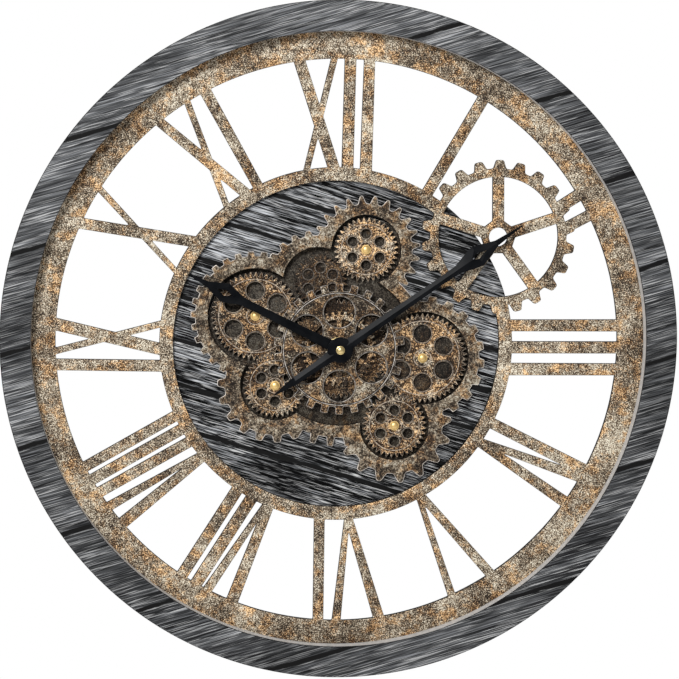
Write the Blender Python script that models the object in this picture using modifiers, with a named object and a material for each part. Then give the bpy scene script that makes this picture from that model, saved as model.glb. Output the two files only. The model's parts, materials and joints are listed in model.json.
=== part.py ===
"""Skeleton wall clock, 600 mm across, with a train of turning gears in the middle.

Every piece is drawn in the clock's own face axes: x to the right, y up, and depth out from the wall towards
the viewer. The empty "clock_axes" stands those axes up in the world, where +Z is up and the dial faces -Y.
Sizes are millimetres and bearings are degrees clockwise from twelve o'clock, unless a name says otherwise.
"""

import math

import bmesh
import bpy
from mathutils import Vector
from mathutils.geometry import delaunay_2d_cdt

MM = 0.001
GAP = 0.3

# Depths from the wall
TUB_FRONT = 35.7
BACKBOARD = (36.0, 41.0)
FRAME = (41.3, 46.3)
GEAR_PLATE = (41.3, 44.3)
MODULE_BASE = (32.4, 35.4)
RIM_BACK = 35.7
RIM_FRONT = 63.3
SUN_LAYER = (36.2, 39.2)
SATELLITE_LAYER = (39.8, 42.8)
SECOND_LAYER = (40.2, 43.2)
CENTRE_LAYER = (44.9, 47.0)
CENTRE_LIP = (46.5, 48.0)
HOUR_HAND = (52.0, 54.2)
MINUTE_HAND = (56.0, 58.2)

# Case. The hands turn a little below the rim's middle, so the rim, the numeral frame's outer ring and its
# inner ring each have their own centre, measured from the hands' axis
RIM_AT = (-0.6, 9.1)
OUTER_RING_AT = (-1.5, 7.4)
INNER_RING_AT = (-2.7, 4.5)
RIM_RADIUS = 300.0
RIM_OPENING = 272.5
RIM_SHELL = 2.0
FRAME_RADIUS = 285.5
REBATE_RADIUS = 288.0
OUTER_RING_INSIDE = 250.0
INNER_RING_OUTSIDE = 157.0
INNER_RING_INSIDE = 145.0
FOOT_RADIUS = 151.0
STROKE_INNER = 161.6
STROKE_OUTER = 245.4
TUB_RADIUS = 124.0
TUB_WALL = 3.0
TUB_FLANGE = 136.0

# The openwork gear that is part of the numeral frame
OPEN_GEAR_AT = (141.6, 99.3)
OPEN_GEAR_TIP = 68.5
OPEN_GEAR_ROOT = 61.0
OPEN_GEAR_RING = 53.4
OPEN_GEAR_TEETH = 22
OPEN_GEAR_FIRST = 1.2
OPEN_GEAR_SPOKE = 10.3
OPEN_GEAR_HUB = 14.5
OPEN_GEAR_FLARE = 3.5
OPEN_GEAR_BORE = 8.3

# Roman numerals: bearings of each stroke's two edges, at its inner end and then at its outer end
NUMERALS = {
    "XII": [
        (-3.3, 0.5, -8.8, -6.4),
        (-10.0, -7.9, -1.7, -0.3),
        (1.7, 5.4, 1.4, 3.8),
        (7.5, 11.3, 5.4, 7.7),
    ],
    "I": [(29.3, 32.9, 29.9, 32.3)],
    "II": [(57.4, 60.5, 57.8, 60.3), (62.1, 65.2, 62.6, 64.9)],
    "III": [(82.5, 86.2, 85.8, 88.3), (89.4, 93.2, 90.4, 92.9), (96.3, 100.2, 95.0, 97.5)],
    "IV": [(115.4, 118.9, 116.6, 119.1), (122.6, 124.8, 118.6, 120.8), (123.4, 126.1, 124.3, 126.7)],
    "V": [(149.0, 151.6, 145.9, 148.0), (151.1, 152.9, 154.9, 156.5)],
    "VI": [(174.1, 176.6, 170.5, 172.8), (175.8, 177.6, 179.2, 181.0), (183.6, 187.0, 182.9, 185.1)],
    "VII": [
        (200.9, 204.0, 200.8, 203.3),
        (203.2, 205.0, 206.5, 208.4),
        (207.0, 210.8, 208.9, 211.4),
        (212.3, 216.0, 212.4, 214.8),
    ],
    "VIII": [
        (228.4, 231.2, 228.6, 231.0),
        (230.6, 232.2, 233.1, 235.0),
        (234.9, 238.3, 236.5, 238.7),
        (239.5, 243.0, 239.5, 241.8),
        (244.2, 247.6, 242.6, 244.8),
    ],
    "IX": [(261.5, 265.2, 264.1, 266.5), (267.1, 271.0, 272.1, 274.7), (275.0, 277.2, 267.7, 269.1)],
    "X": [(302.9, 306.8, 293.9, 296.3), (294.4, 296.3, 301.7, 303.1)],
    "XI": [(326.6, 330.2, 320.1, 322.2), (321.1, 323.2, 326.9, 328.3), (331.9, 335.2, 330.9, 333.3)],
}

# The fixed plate round the gears: discs (place, tip, root, teeth, first tooth) with windows (place, radius)
PLATE_DISCS = [
    ((-74.5, 29.5), 57.6, 53.6, 30, 248.0),
    ((-18.9, 54.7), 51.2, 46.5, 24, 4.8),
    ((24.0, 88.0), 48.4, 41.2, 24, 9.8),
    ((74.3, -8.5), 55.8, 51.0, 21, 78.3),
    ((49.5, -68.9), 51.3, 43.0, 16, 151.3),
    ((-57.1, -32.0), 51.5, 44.9, 19, 234.5),
]
PLATE_RING = ((0.0, 0.0), 87.3, 79.4, 34, 185.4)
PLATE_WINDOWS = [
    ((-74.5, 29.5), 42.1),
    ((-57.1, -32.0), 30.7),
    ((0.0, 0.0), 67.9),
    ((49.3, -68.7), 30.4),
    ((74.3, -8.5), 40.9),
    ((24.0, 88.3), 30.7),
    ((-18.9, 59.2), 31.1),
]

# Gear train: one tooth module throughout, so that every pair in mesh really meshes
MODULE = 1.5
ADDENDUM = 1.0
DEDENDUM = 1.6
SUN_TEETH = 57
LEFT_TEETH = 50
LOWER_LEFT_TEETH = 36
RIGHT_PINION_TEETH = 43
RIGHT_TEETH = 51
LOWER_RIGHT_TEETH = 36
UPPER_LEFT_PINION_TEETH = 26
UPPER_LEFT_TEETH = 30
UPPER_RIGHT_TEETH = 36
MOTOR_PINION_TEETH = 12
LEFT_BEARING = -68.4
LOWER_LEFT_BEARING = 164.2
RIGHT_BEARING = 96.6
LOWER_RIGHT_BEARING = 202.6
UPPER_LEFT_BEARING = -15.5
UPPER_RIGHT_BEARING = 55.1
MOTOR_BEARING = 184.0
CENTRE_TEETH = 26
CENTRE_TIP = 58.2
CENTRE_ROOT = 51.6
SECOND_TEETH = 36
SECOND_TIP = 33.6
SECOND_ROOT = 30.4
SLEEVE_RADIUS = 7.5
NOSE_RADIUS = 4.7
PIPE_RADIUS = 3.3
ARBOR_RADIUS = 1.3
PIN_RADIUS = 2.0
PIN_HEAD = 4.2

# Hand-setting train inside the quartz movement
MINUTE_PINION_TEETH = 8
INTERMEDIATE_TEETH = 24
INTERMEDIATE_PINION_TEETH = 8
HOUR_TEETH = 32
SET_TEETH = 12
MINUTE_MODULE = 0.75
HOUR_MODULE = 0.6
INTERMEDIATE_BEARING = 60.0
SET_BEARING = 20.0
MINUTE_WHEELS = (8.2, 10.2)
HOUR_WHEELS = (13.0, 15.0)
ARBOR_BACK = 5.6

# Hands
MINUTE_BEARING = 55.8
MINUTE_LENGTH = 197.0
MINUTE_TAIL = 71.0
HOUR_BEARING = 296.6
HOUR_LENGTH = 151.0

# Quartz movement, motor and batteries
MOVEMENT_HALF = 28.0
MOVEMENT_DEPTH = (3.3, 19.3)
BATTERY_RADIUS = 7.1
BATTERY_LENGTH = 50.0
TIME_BATTERY_AT = (0.0, -19.7)
GEAR_BATTERIES_AT = (0.0, -81.0)
HANGER_AT = (0.0, 94.0)
SWITCH_AT = (58.0, -81.0)


def clear_scene():
    for thing in list(bpy.data.objects):
        bpy.data.objects.remove(thing, do_unlink=True)


def collection(name):
    made = bpy.data.collections.new(name)
    bpy.context.scene.collection.children.link(made)
    return made


clear_scene()
CLOCK = collection("skeleton_clock")
CUTTERS = collection("cutters")
CUTTERS.hide_render = True
AXES = bpy.data.objects.new("clock_axes", None)
AXES.rotation_euler = (math.pi / 2, 0, 0)
CLOCK.objects.link(AXES)


def material(name, colour, roughness, metallic=0.0):
    made = bpy.data.materials.new(name)
    made.use_nodes = True
    shader = made.node_tree.nodes["Principled BSDF"]
    shader.inputs["Base Color"].default_value = (*colour, 1.0)
    shader.inputs["Roughness"].default_value = roughness
    shader.inputs["Metallic"].default_value = metallic
    return made


DARK_WOOD = material("charcoal_wood", (0.055, 0.056, 0.062), 0.75)
LIGHT_CORE = material("light_core_board", (0.62, 0.62, 0.60), 0.8)
BRONZE = material("speckled_bronze", (0.36, 0.22, 0.11), 0.6, 0.5)
AGED_BRONZE = material("aged_bronze", (0.20, 0.14, 0.09), 0.65, 0.5)
GOLD_BRONZE = material("gold_bronze", (0.38, 0.22, 0.10), 0.5, 0.6)
BRASS = material("brass", (0.65, 0.45, 0.16), 0.3, 1.0)
BLACK_METAL = material("black_hands", (0.012, 0.013, 0.015), 0.35, 0.3)
BLACK_PLASTIC = material("black_plastic", (0.02, 0.02, 0.022), 0.5)
WHITE_NYLON = material("white_nylon", (0.75, 0.75, 0.72), 0.5)
STEEL = material("zinc_steel", (0.5, 0.5, 0.5), 0.35, 1.0)
CELL = material("battery_jacket", (0.05, 0.12, 0.2), 0.4, 0.2)


def polar(radius, bearing, centre=(0.0, 0.0)):
    angle = math.radians(bearing)
    return (centre[0] + radius * math.sin(angle), centre[1] + radius * math.cos(angle))


def shifted(points, offset):
    return [(x + offset[0], y + offset[1]) for x, y in points]


def turned_by(points, bearing):
    """Points turned clockwise about the origin."""
    angle = math.radians(bearing)
    cosine, sine = math.cos(angle), math.sin(angle)
    return [(x * cosine + y * sine, y * cosine - x * sine) for x, y in points]


def circle(radius, centre=(0.0, 0.0), sides=48, first=0.0):
    return [polar(radius, first + 360 * index / sides, centre) for index in range(sides)]


def rectangle(width, height, centre=(0.0, 0.0)):
    x, y = width / 2, height / 2
    return shifted([(-x, -y), (x, -y), (x, y), (-x, y)], centre)


def bar(start, end, width):
    """A straight bar of constant width between two points."""
    along = (Vector(end) - Vector(start)).normalized() * (width / 2)
    side = Vector((-along.y, along.x))
    corners = (Vector(start) - side, Vector(end) - side, Vector(end) + side, Vector(start) + side)
    return [tuple(corner) for corner in corners]


def toothed(count, tip, root, first=0.0, crest=0.3, foot=0.65, centre=(0.0, 0.0)):
    """A toothed wheel's outline. Crest and foot are a tooth's widths, as shares of the pitch."""
    step = 360 / count
    points = []
    for index in range(count):
        middle = first + index * step
        if foot < 1:
            points.append(polar(root, middle - foot * step / 2, centre))
        points.append(polar(tip, middle - crest * step / 2, centre))
        points.append(polar(tip, middle + crest * step / 2, centre))
        points.append(polar(root, middle + foot * step / 2, centre))
    return points


def gear(count, first=0.0, module=MODULE):
    """A working gear's outline: narrow crests, and gaps that close to a V at the root."""
    pitch = module * count / 2
    tip = pitch + ADDENDUM * module
    root = pitch - DEDENDUM * module
    return toothed(count, tip, root, first, crest=0.12, foot=1.0)


def mesh_distance(first_teeth, second_teeth, module=MODULE):
    return module * (first_teeth + second_teeth) / 2


def meshed(first, teeth, bearing, other_teeth):
    """First-tooth bearing of a gear in mesh with one whose teeth are known, lying at a bearing from it."""
    share = (bearing - first) * teeth / 360
    return bearing + 180 - (0.5 - share) * 360 / other_teeth


def anticlockwise(points):
    area = sum(a[0] * b[1] - b[0] * a[1] for a, b in zip(points, points[1:] + points[:1]))
    return list(points) if area > 0 else list(reversed(points))


def region(groups, is_solid):
    """Outlines of a flat shape. Groups name sets of outlines; is_solid judges a spot by those round it."""
    outlines = []
    owners = []
    for group, members in groups.items():
        for member in members:
            outlines.append(anticlockwise(member))
            owners.append(group)
    corners = [Vector(point) for outline in outlines for point in outline]
    faces = []
    start = 0
    for outline in outlines:
        faces.append(list(range(start, start + len(outline))))
        start += len(outline)
    points, _, triangles, _, _, sources = delaunay_2d_cdt(corners, [], faces, 1, 1e-5)
    edges = set()
    for triangle, inside in zip(triangles, sources):
        if is_solid({owners[index] for index in inside}):
            edges.update(zip(triangle, triangle[1:] + triangle[:1]))
    following = {a: b for a, b in edges if (b, a) not in edges}
    loops = []
    while following:
        place = next(iter(following))
        loop = []
        while place in following:
            loop.append(tuple(points[place]))
            place = following.pop(place)
        loops.append(without_straights(loop))
    return loops


def without_straights(loop):
    """The same outline with the points along its straight stretches left out."""
    kept = []
    for before, here, after in zip(loop[-1:] + loop[:-1], loop, loop[1:] + loop[:1]):
        coming = Vector(here) - Vector(before)
        going = Vector(after) - Vector(here)
        if abs(coming.cross(going)) > 1e-4 * coming.length * going.length:
            kept.append(here)
    return kept


def new_object(name, mesh, centre, look):
    made = bpy.data.objects.new(name, mesh)
    made.parent = AXES
    made.location = (centre[0] * MM, centre[1] * MM, 0)
    if look is not None:
        mesh.materials.clear()
        mesh.materials.append(look)
        CLOCK.objects.link(made)
    else:
        made.hide_render = True
        made.display_type = "WIRE"
        CUTTERS.objects.link(made)
    return made


def flat(name, loops, depths, look=None, centre=(0.0, 0.0)):
    """A flat piece between two depths, cut along closed outlines drawn about its centre."""
    back, front = depths
    curve = bpy.data.curves.new(name + "_outline", "CURVE")
    curve.dimensions = "2D"
    curve.fill_mode = "BOTH"
    curve.extrude = (front - back) / 2 * MM
    for loop in loops:
        spline = curve.splines.new("POLY")
        spline.points.add(len(loop) - 1)
        for point, (x, y) in zip(spline.points, loop):
            point.co = (x * MM, y * MM, 0, 1)
        spline.use_cyclic_u = True
    outline = bpy.data.objects.new(name + "_outline", curve)
    CLOCK.objects.link(outline)
    bpy.context.view_layer.update()
    evaluated = outline.evaluated_get(bpy.context.evaluated_depsgraph_get())
    mesh = bpy.data.meshes.new_from_object(evaluated)
    bpy.data.objects.remove(outline, do_unlink=True)
    mesh.name = name
    weld(mesh, (back + front) / 2 * MM)
    return new_object(name, mesh, centre, look)


def weld(mesh, depth):
    sheet = bmesh.new()
    sheet.from_mesh(mesh)
    bmesh.ops.remove_doubles(sheet, verts=sheet.verts, dist=1e-6)
    bmesh.ops.translate(sheet, verts=sheet.verts, vec=(0, 0, depth))
    bmesh.ops.recalc_face_normals(sheet, faces=sheet.faces)
    sheet.to_mesh(mesh)
    sheet.free()


def round_piece(name, profile, look=None, centre=(0.0, 0.0), steps=24, closed=False):
    """A turned piece: (radius, depth) down its outer side from front to back. Closed profiles are rings."""
    mesh = bpy.data.meshes.new(name)
    points = [(radius * MM, 0, depth * MM) for radius, depth in profile]
    count = len(points)
    edges = [(index, (index + 1) % count) for index in range(count if closed else count - 1)]
    mesh.from_pydata(points, edges, [])
    made = new_object(name, mesh, centre, look)
    screw = made.modifiers.new("turn", "SCREW")
    screw.steps = steps
    screw.render_steps = steps
    screw.use_merge_vertices = True
    screw.merge_threshold = 0.00001
    screw.use_smooth_shade = True
    return made


def ring(name, outer, inner, depths, look, centre=(0.0, 0.0), steps=24):
    back, front = depths
    profile = [(outer, front), (outer, back), (inner, back), (inner, front)]
    return round_piece(name, profile, look, centre, steps, closed=True)


def box(name, size, place, look=None, bevel=0.0):
    """A box: sizes and middle as (x, y, depth)."""
    cube = bmesh.new()
    bmesh.ops.create_cube(cube, size=1.0)
    bmesh.ops.scale(cube, vec=[length * MM for length in size], verts=cube.verts)
    bmesh.ops.translate(cube, vec=(0, 0, place[2] * MM), verts=cube.verts)
    mesh = bpy.data.meshes.new(name)
    cube.to_mesh(mesh)
    cube.free()
    made = new_object(name, mesh, place[:2], look)
    if bevel:
        edge = made.modifiers.new("edges", "BEVEL")
        edge.width = bevel * MM
        edge.segments = 1
    return made


def boolean(piece, other, operation="DIFFERENCE"):
    cut = piece.modifiers.new(operation.lower(), "BOOLEAN")
    cut.operation = operation
    cut.solver = "EXACT"
    cut.object = other
    return piece


def lying_cylinder(name, radius, length, place, look=None, nub=0.0):
    """A cylinder along x, with the smaller contact nub of a battery at its right-hand end."""
    mesh = bpy.data.meshes.new(name)
    half = length / 2
    profile = [(0, half), (radius, half), (radius, -half), (0, -half)]
    if nub:
        profile[:1] = [(0, half), (nub, half), (nub, half - 1.5)]
        profile[3] = (radius, half - 1.5)
    points = [(r * MM, 0, z * MM) for r, z in profile]
    mesh.from_pydata(points, [(i, i + 1) for i in range(len(points) - 1)], [])
    made = new_object(name, mesh, place[:2], look)
    made.location.z = place[2] * MM
    made.rotation_euler = (0, math.pi / 2, 0)
    screw = made.modifiers.new("turn", "SCREW")
    screw.steps = 16
    screw.render_steps = 16
    screw.use_merge_vertices = True
    screw.merge_threshold = 0.00001
    return made


# ---------------------------------------------------------------- case and dial


def make_rim():
    shell_in = RIM_RADIUS - RIM_SHELL
    face_back = RIM_FRONT - RIM_SHELL
    face = [
        (RIM_RADIUS - 1.0, RIM_FRONT),
        (RIM_RADIUS, RIM_FRONT - 1.0),
        (RIM_RADIUS, RIM_BACK),
        (shell_in, RIM_BACK),
        (shell_in, face_back),
        (RIM_OPENING, face_back),
        (RIM_OPENING, RIM_FRONT),
    ]
    round_piece("rim_face", face, DARK_WOOD, RIM_AT, 72, closed=True)
    core_front = face_back - GAP
    rebate = FRAME[1] + GAP
    core = [
        (shell_in - GAP, core_front),
        (shell_in - GAP, RIM_BACK),
        (REBATE_RADIUS, RIM_BACK),
        (REBATE_RADIUS, rebate),
        (RIM_OPENING, rebate),
        (RIM_OPENING, core_front),
    ]
    round_piece("rim_core", core, LIGHT_CORE, RIM_AT, 72, closed=True)


def numeral_stroke(inner_from, inner_to, outer_from, outer_to):
    """A straight stroke, run on at both ends into the two rings that it joins."""
    inner = [Vector(polar(STROKE_INNER, bearing, INNER_RING_AT)) for bearing in (inner_from, inner_to)]
    outer = [Vector(polar(STROKE_OUTER, bearing, OUTER_RING_AT)) for bearing in (outer_from, outer_to)]
    run_in = (STROKE_INNER - FOOT_RADIUS) / (STROKE_OUTER - STROKE_INNER)
    run_out = (OUTER_RING_INSIDE + 8.0 - STROKE_OUTER) / (STROKE_OUTER - STROKE_INNER)
    starts = [a - (b - a) * run_in for a, b in zip(inner, outer)]
    ends = [b + (b - a) * run_out for a, b in zip(inner, outer)]
    return [tuple(starts[0]), tuple(ends[0]), tuple(ends[1]), tuple(starts[1])]


def make_numeral_frame():
    teeth = (OPEN_GEAR_TEETH, OPEN_GEAR_TIP, OPEN_GEAR_ROOT, OPEN_GEAR_FIRST)
    open_gear = toothed(*teeth, crest=0.34, foot=0.66, centre=OPEN_GEAR_AT)
    spokes = [polar(OPEN_GEAR_RING + 3, 72 * index, OPEN_GEAR_AT) for index in range(5)]
    corners = [OPEN_GEAR_HUB + OPEN_GEAR_FLARE, OPEN_GEAR_HUB] * 5
    hub = [polar(radius, 36 * index, OPEN_GEAR_AT) for index, radius in enumerate(corners)]
    groups = {
        "frame": [circle(FRAME_RADIUS, OUTER_RING_AT, 48)],
        "opening": [circle(OUTER_RING_INSIDE, OUTER_RING_AT, 72)],
        "ring_outside": [circle(INNER_RING_OUTSIDE, INNER_RING_AT, 60)],
        "ring_inside": [circle(INNER_RING_INSIDE, INNER_RING_AT, 60)],
        "stroke": [numeral_stroke(*edges) for numeral in NUMERALS.values() for edges in numeral],
        "gear": [open_gear],
        "gear_ring": [circle(OPEN_GEAR_RING, OPEN_GEAR_AT, 40)],
        "spoke": [bar(OPEN_GEAR_AT, end, OPEN_GEAR_SPOKE) for end in spokes],
        "hub": [hub],
        "bore": [circle(OPEN_GEAR_BORE, OPEN_GEAR_AT, 16)],
    }

    def is_solid(inside):
        if "gear" in inside:
            arms = "gear_ring" not in inside or "spoke" in inside or "hub" in inside
            return arms and "bore" not in inside
        outer_ring = "frame" in inside and "opening" not in inside
        inner_ring = "ring_outside" in inside
        return "ring_inside" not in inside and (outer_ring or inner_ring or "stroke" in inside)

    flat("numeral_frame", region(groups, is_solid), FRAME, BRONZE)


def window_outlines(wider=0.0):
    """The gear plate's windows, joined where they run into each other."""
    windows = [circle(radius + wider, place, 32) for place, radius in PLATE_WINDOWS]
    return region({"window": windows}, lambda inside: bool(inside))


def make_gear_plate():
    discs = [
        toothed(teeth, tip, root, first, crest=0.36, foot=0.64, centre=place)
        for place, tip, root, teeth, first in PLATE_DISCS
    ]
    place, tip, root, teeth, first = PLATE_RING
    lower_teeth = []
    for index in (-1, 0, 1, 2):
        middle = first + index * 360 / teeth
        sides = [(root - 2, -2.9), (tip, -1.7), (tip, 1.7), (root - 2, 2.9)]
        lower_teeth.append([polar(radius, middle + turn, place) for radius, turn in sides])
    groups = {"metal": discs + lower_teeth + [circle(root, place, 60)], "window": window_outlines()}
    loops = region(groups, lambda inside: "metal" in inside and "window" not in inside)
    flat("gear_plate", loops, GEAR_PLATE, AGED_BRONZE)


# ---------------------------------------------------------------- rear housing

FLANGE_SCREWS = [polar(130.0, bearing) for bearing in (0, 120, 240)]
POSTS = [polar(55.0, bearing) for bearing in (30, 150, 250)]
SCREW = 1.6
SCREW_HOLE = 1.9
SCREW_TIP = 39.0


def hole(name, radius, depths, place, steps=8):
    """A round cutter between two depths."""
    back, front = depths
    return round_piece(name, [(0, front), (radius, front), (radius, back), (0, back)], None, place, steps)


def make_backboard():
    outline = region(
        {"board": [circle(INNER_RING_OUTSIDE, INNER_RING_AT, 60)], "opening": window_outlines(wider=1.5)},
        lambda inside: "board" in inside and "opening" not in inside,
    )
    board = flat("backboard", outline, BACKBOARD, DARK_WOOD)
    for index, place in enumerate(FLANGE_SCREWS):
        boolean(board, hole(f"board_hole_{index}", SCREW_HOLE, (35.0, SCREW_TIP + 0.6), place))


def make_tub():
    inside = TUB_RADIUS - TUB_WALL
    flange_back = TUB_FRONT - TUB_WALL
    profile = [
        (0, TUB_WALL),
        (inside, TUB_WALL),
        (inside, TUB_FRONT),
        (TUB_FLANGE, TUB_FRONT),
        (TUB_FLANGE, flange_back),
        (TUB_RADIUS, flange_back),
        (TUB_RADIUS, 0),
        (0, 0),
    ]
    tub = round_piece("housing_tub", profile, BLACK_PLASTIC, steps=40)
    post_top = MODULE_BASE[0] - GAP
    posts = [(4.5, post_top), (4.5, 2.0), (SCREW_HOLE, 2.0), (SCREW_HOLE, post_top)]
    for index, place in enumerate(POSTS):
        boolean(tub, round_piece(f"tub_post_{index}", posts, None, place, 8, closed=True), "UNION")
    for index, place in enumerate(FLANGE_SCREWS):
        boolean(tub, hole(f"flange_hole_{index}", SCREW_HOLE, (flange_back - 2, TUB_FRONT + 2), place))
    openings = {
        "time_battery_opening": (TIME_BATTERY_AT, 57.0, 16.0),
        "gear_battery_opening": (GEAR_BATTERIES_AT, 58.0, 33.0),
        "hanger_opening": (HANGER_AT, 22.0, 24.0),
        "switch_opening": (SWITCH_AT, 10.6, 5.6),
    }
    for name, (place, width, height) in openings.items():
        boolean(tub, box(name, (width, height, 3 * TUB_WALL), (*place, TUB_WALL / 2)))
    boolean(tub, hole("knob_opening", 7.0, (-2.0, 5.0), SET_PLACE, 16))


def make_screws():
    flange_back = TUB_FRONT - TUB_WALL
    seat = flange_back - GAP
    crown = seat - 2.0
    from_behind = [(0, SCREW_TIP), (SCREW, SCREW_TIP), (SCREW, seat), (3.6, seat), (3.0, crown), (0, crown)]
    for index, place in enumerate(FLANGE_SCREWS, 1):
        round_piece(f"housing_screw_{index}", from_behind, STEEL, place, 10)
    seat = MODULE_BASE[1] + GAP
    crown = seat + 1.6
    from_front = [(0, crown), (2.6, crown), (3.4, seat), (SCREW, seat), (SCREW, 20.0), (0, 20.0)]
    for index, place in enumerate(POSTS, 1):
        round_piece(f"module_screw_{index}", from_front, STEEL, place, 10)


def make_module_base():
    holes = [circle(NOSE_RADIUS + GAP, sides=16), circle(1.8, MOTOR_PLACE, 8)]
    holes += [circle(SCREW_HOLE, place, 8) for place in POSTS]
    holes += [circle(PIN_RADIUS + GAP, place, 10) for place in SATELLITES.values()]
    plate = {"plate": [circle(TUB_RADIUS - TUB_WALL - 1.2, sides=40)], "hole": holes}
    loops = region(plate, lambda inside: inside == {"plate"})
    flat("module_base", loops, MODULE_BASE, AGED_BRONZE)


def make_hanger():
    keyhole = region(
        {"slot": [circle(4.5, (0, -4), 16), rectangle(4.4, 12.0, (0, 2))]},
        lambda inside: bool(inside),
    )
    plate = {"plate": [rectangle(30.0, 34.0)], "keyhole": keyhole}
    loops = region(plate, lambda inside: inside == {"plate"})
    flat("hanger_plate", loops, (3.3, 4.8), STEEL, HANGER_AT)


# ---------------------------------------------------------------- quartz movement


def make_movement():
    back, front = MOVEMENT_DEPTH
    size = 2 * MOVEMENT_HALF
    case = box("movement_case", (size, size, front - back), (0, 0, (front + back) / 2), BLACK_PLASTIC)
    boolean(case, box("wheel_cavity", (52.0, 36.6, 20.0), (0, 7.7, 15.3)))
    boolean(case, box("battery_bay", (54.0, 14.6, 20.0), (*TIME_BATTERY_AT, 8.3)))
    boolean(case, hole("set_hole", 1.5, (0.0, 9.0), SET_PLACE))
    cover = {"cover": [rectangle(size, 39.6, (0, 8.2))], "hole": [circle(PIPE_RADIUS + GAP, sides=16)]}
    loops = region(cover, lambda inside: inside == {"cover"})
    flat("movement_cover", loops, (front + GAP, front + 1.8), BLACK_PLASTIC)
    nose_back = front + 2.1
    nose = [
        (NOSE_RADIUS, 50.0),
        (NOSE_RADIUS, nose_back + 1.5),
        (9.0, nose_back + 1.5),
        (9.0, nose_back),
        (PIPE_RADIUS + GAP, nose_back),
        (PIPE_RADIUS + GAP, 50.0),
    ]
    round_piece("threaded_nose", nose, BRASS, steps=16, closed=True)
    lying_cylinder("time_battery", BATTERY_RADIUS, BATTERY_LENGTH, (*TIME_BATTERY_AT, 11.0), CELL, nub=2.6)
    box("time_battery_cover", (56.4, 15.4, 2.0), (*TIME_BATTERY_AT, 1.2), BLACK_PLASTIC)


def wheel(name, teeth, first, module, bore, depths, look, centre=(0.0, 0.0)):
    loops = region(
        {"wheel": [gear(teeth, first, module)], "bore": [circle(bore, sides=12)]},
        lambda inside: inside == {"wheel"},
    )
    return flat(name, loops, depths, look, centre)


def make_hand_setting_train():
    back, front = MOVEMENT_DEPTH
    arbor = [(0, 59.0), (ARBOR_RADIUS, 59.0), (ARBOR_RADIUS, ARBOR_BACK), (0, ARBOR_BACK)]
    round_piece("minute_arbor", arbor, BRASS, steps=10)
    ring("hour_pipe", PIPE_RADIUS, ARBOR_RADIUS + GAP, (12.4, 54.8), BRASS, steps=12)
    arbor = [(0, front), (0.8, front), (0.8, ARBOR_BACK), (0, ARBOR_BACK)]
    round_piece("intermediate_arbor", arbor, STEEL, INTERMEDIATE_PLACE, 8)
    intermediate = meshed(0, MINUTE_PINION_TEETH, INTERMEDIATE_BEARING, INTERMEDIATE_TEETH)
    setting = meshed(intermediate, INTERMEDIATE_TEETH, SET_BEARING, SET_TEETH)
    hour = meshed(0, INTERMEDIATE_PINION_TEETH, INTERMEDIATE_BEARING + 180, HOUR_TEETH)
    wheel("minute_pinion", MINUTE_PINION_TEETH, 0, MINUTE_MODULE, 1.6, MINUTE_WHEELS, BRASS)
    lower = (INTERMEDIATE_TEETH, intermediate, MINUTE_MODULE, 1.1, MINUTE_WHEELS)
    upper = (INTERMEDIATE_PINION_TEETH, 0, HOUR_MODULE, 1.1, HOUR_WHEELS)
    wheel("intermediate_wheel", *lower, WHITE_NYLON, INTERMEDIATE_PLACE)
    wheel("intermediate_pinion", *upper, WHITE_NYLON, INTERMEDIATE_PLACE)
    wheel("hour_wheel", HOUR_TEETH, hour, HOUR_MODULE, PIPE_RADIUS + GAP, HOUR_WHEELS, WHITE_NYLON)
    wheel("set_wheel", SET_TEETH, setting, MINUTE_MODULE, 1.5, MINUTE_WHEELS, WHITE_NYLON, SET_PLACE)
    knob = [(0, 11.0), (1.2, 11.0), (1.2, 2.8), (5.6, 2.8), (5.6, 0.5), (0, 0.5)]
    round_piece("set_knob", knob, BLACK_PLASTIC, SET_PLACE, 12)


# ---------------------------------------------------------------- gear motor


def make_motor():
    can = [(0, 20.6), (10, 20.6), (10, 4.0), (0, 4.0)]
    round_piece("motor_can", can, STEEL, MOTOR_PLACE, 16)
    gearbox = [(0, 27.7), (1.5, 27.7), (1.5, 31.6), (17, 31.6), (17, 21), (0, 21)]
    round_piece("motor_gearbox", gearbox, BLACK_PLASTIC, MOTOR_PLACE, 20)
    shaft = [(0, 39.5), (1.2, 39.5), (1.2, 28.0), (0, 28.0)]
    round_piece("motor_shaft", shaft, STEEL, MOTOR_PLACE, 8)
    tray = box("gear_battery_tray", (58.0, 34.0, 16.0), (*GEAR_BATTERIES_AT, 11.3), BLACK_PLASTIC)
    boolean(tray, box("gear_battery_bay", (55.0, 31.0, 20.0), (*GEAR_BATTERIES_AT, 8.0)))
    for index, rise in enumerate((7.4, -7.4), 1):
        place = (GEAR_BATTERIES_AT[0], GEAR_BATTERIES_AT[1] + rise, 10.8)
        lying_cylinder(f"gear_battery_{index}", BATTERY_RADIUS, BATTERY_LENGTH, place, CELL, nub=2.6)
    box("gear_battery_cover", (57.4, 32.4, 2.0), (*GEAR_BATTERIES_AT, 1.2), BLACK_PLASTIC)
    box("switch_body", (14.0, 8.0, 6.0), (*SWITCH_AT, 6.3), BLACK_PLASTIC)
    box("switch_slider", (4.0, 4.0, 2.4), (SWITCH_AT[0] + 2.5, SWITCH_AT[1], 1.6), WHITE_NYLON)


# ---------------------------------------------------------------- turning gears


def lightened(outline, bore, holes=0, hole_radius=0.0, at_radius=0.0, first=0.0, sides=10):
    openings = [circle(bore, sides=20 if bore > 5 else 10)]
    for index in range(holes):
        openings.append(circle(hole_radius, polar(at_radius, first + 360 * index / holes), sides))
    return region({"wheel": [outline], "opening": openings}, lambda inside: inside == {"wheel"})


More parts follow.
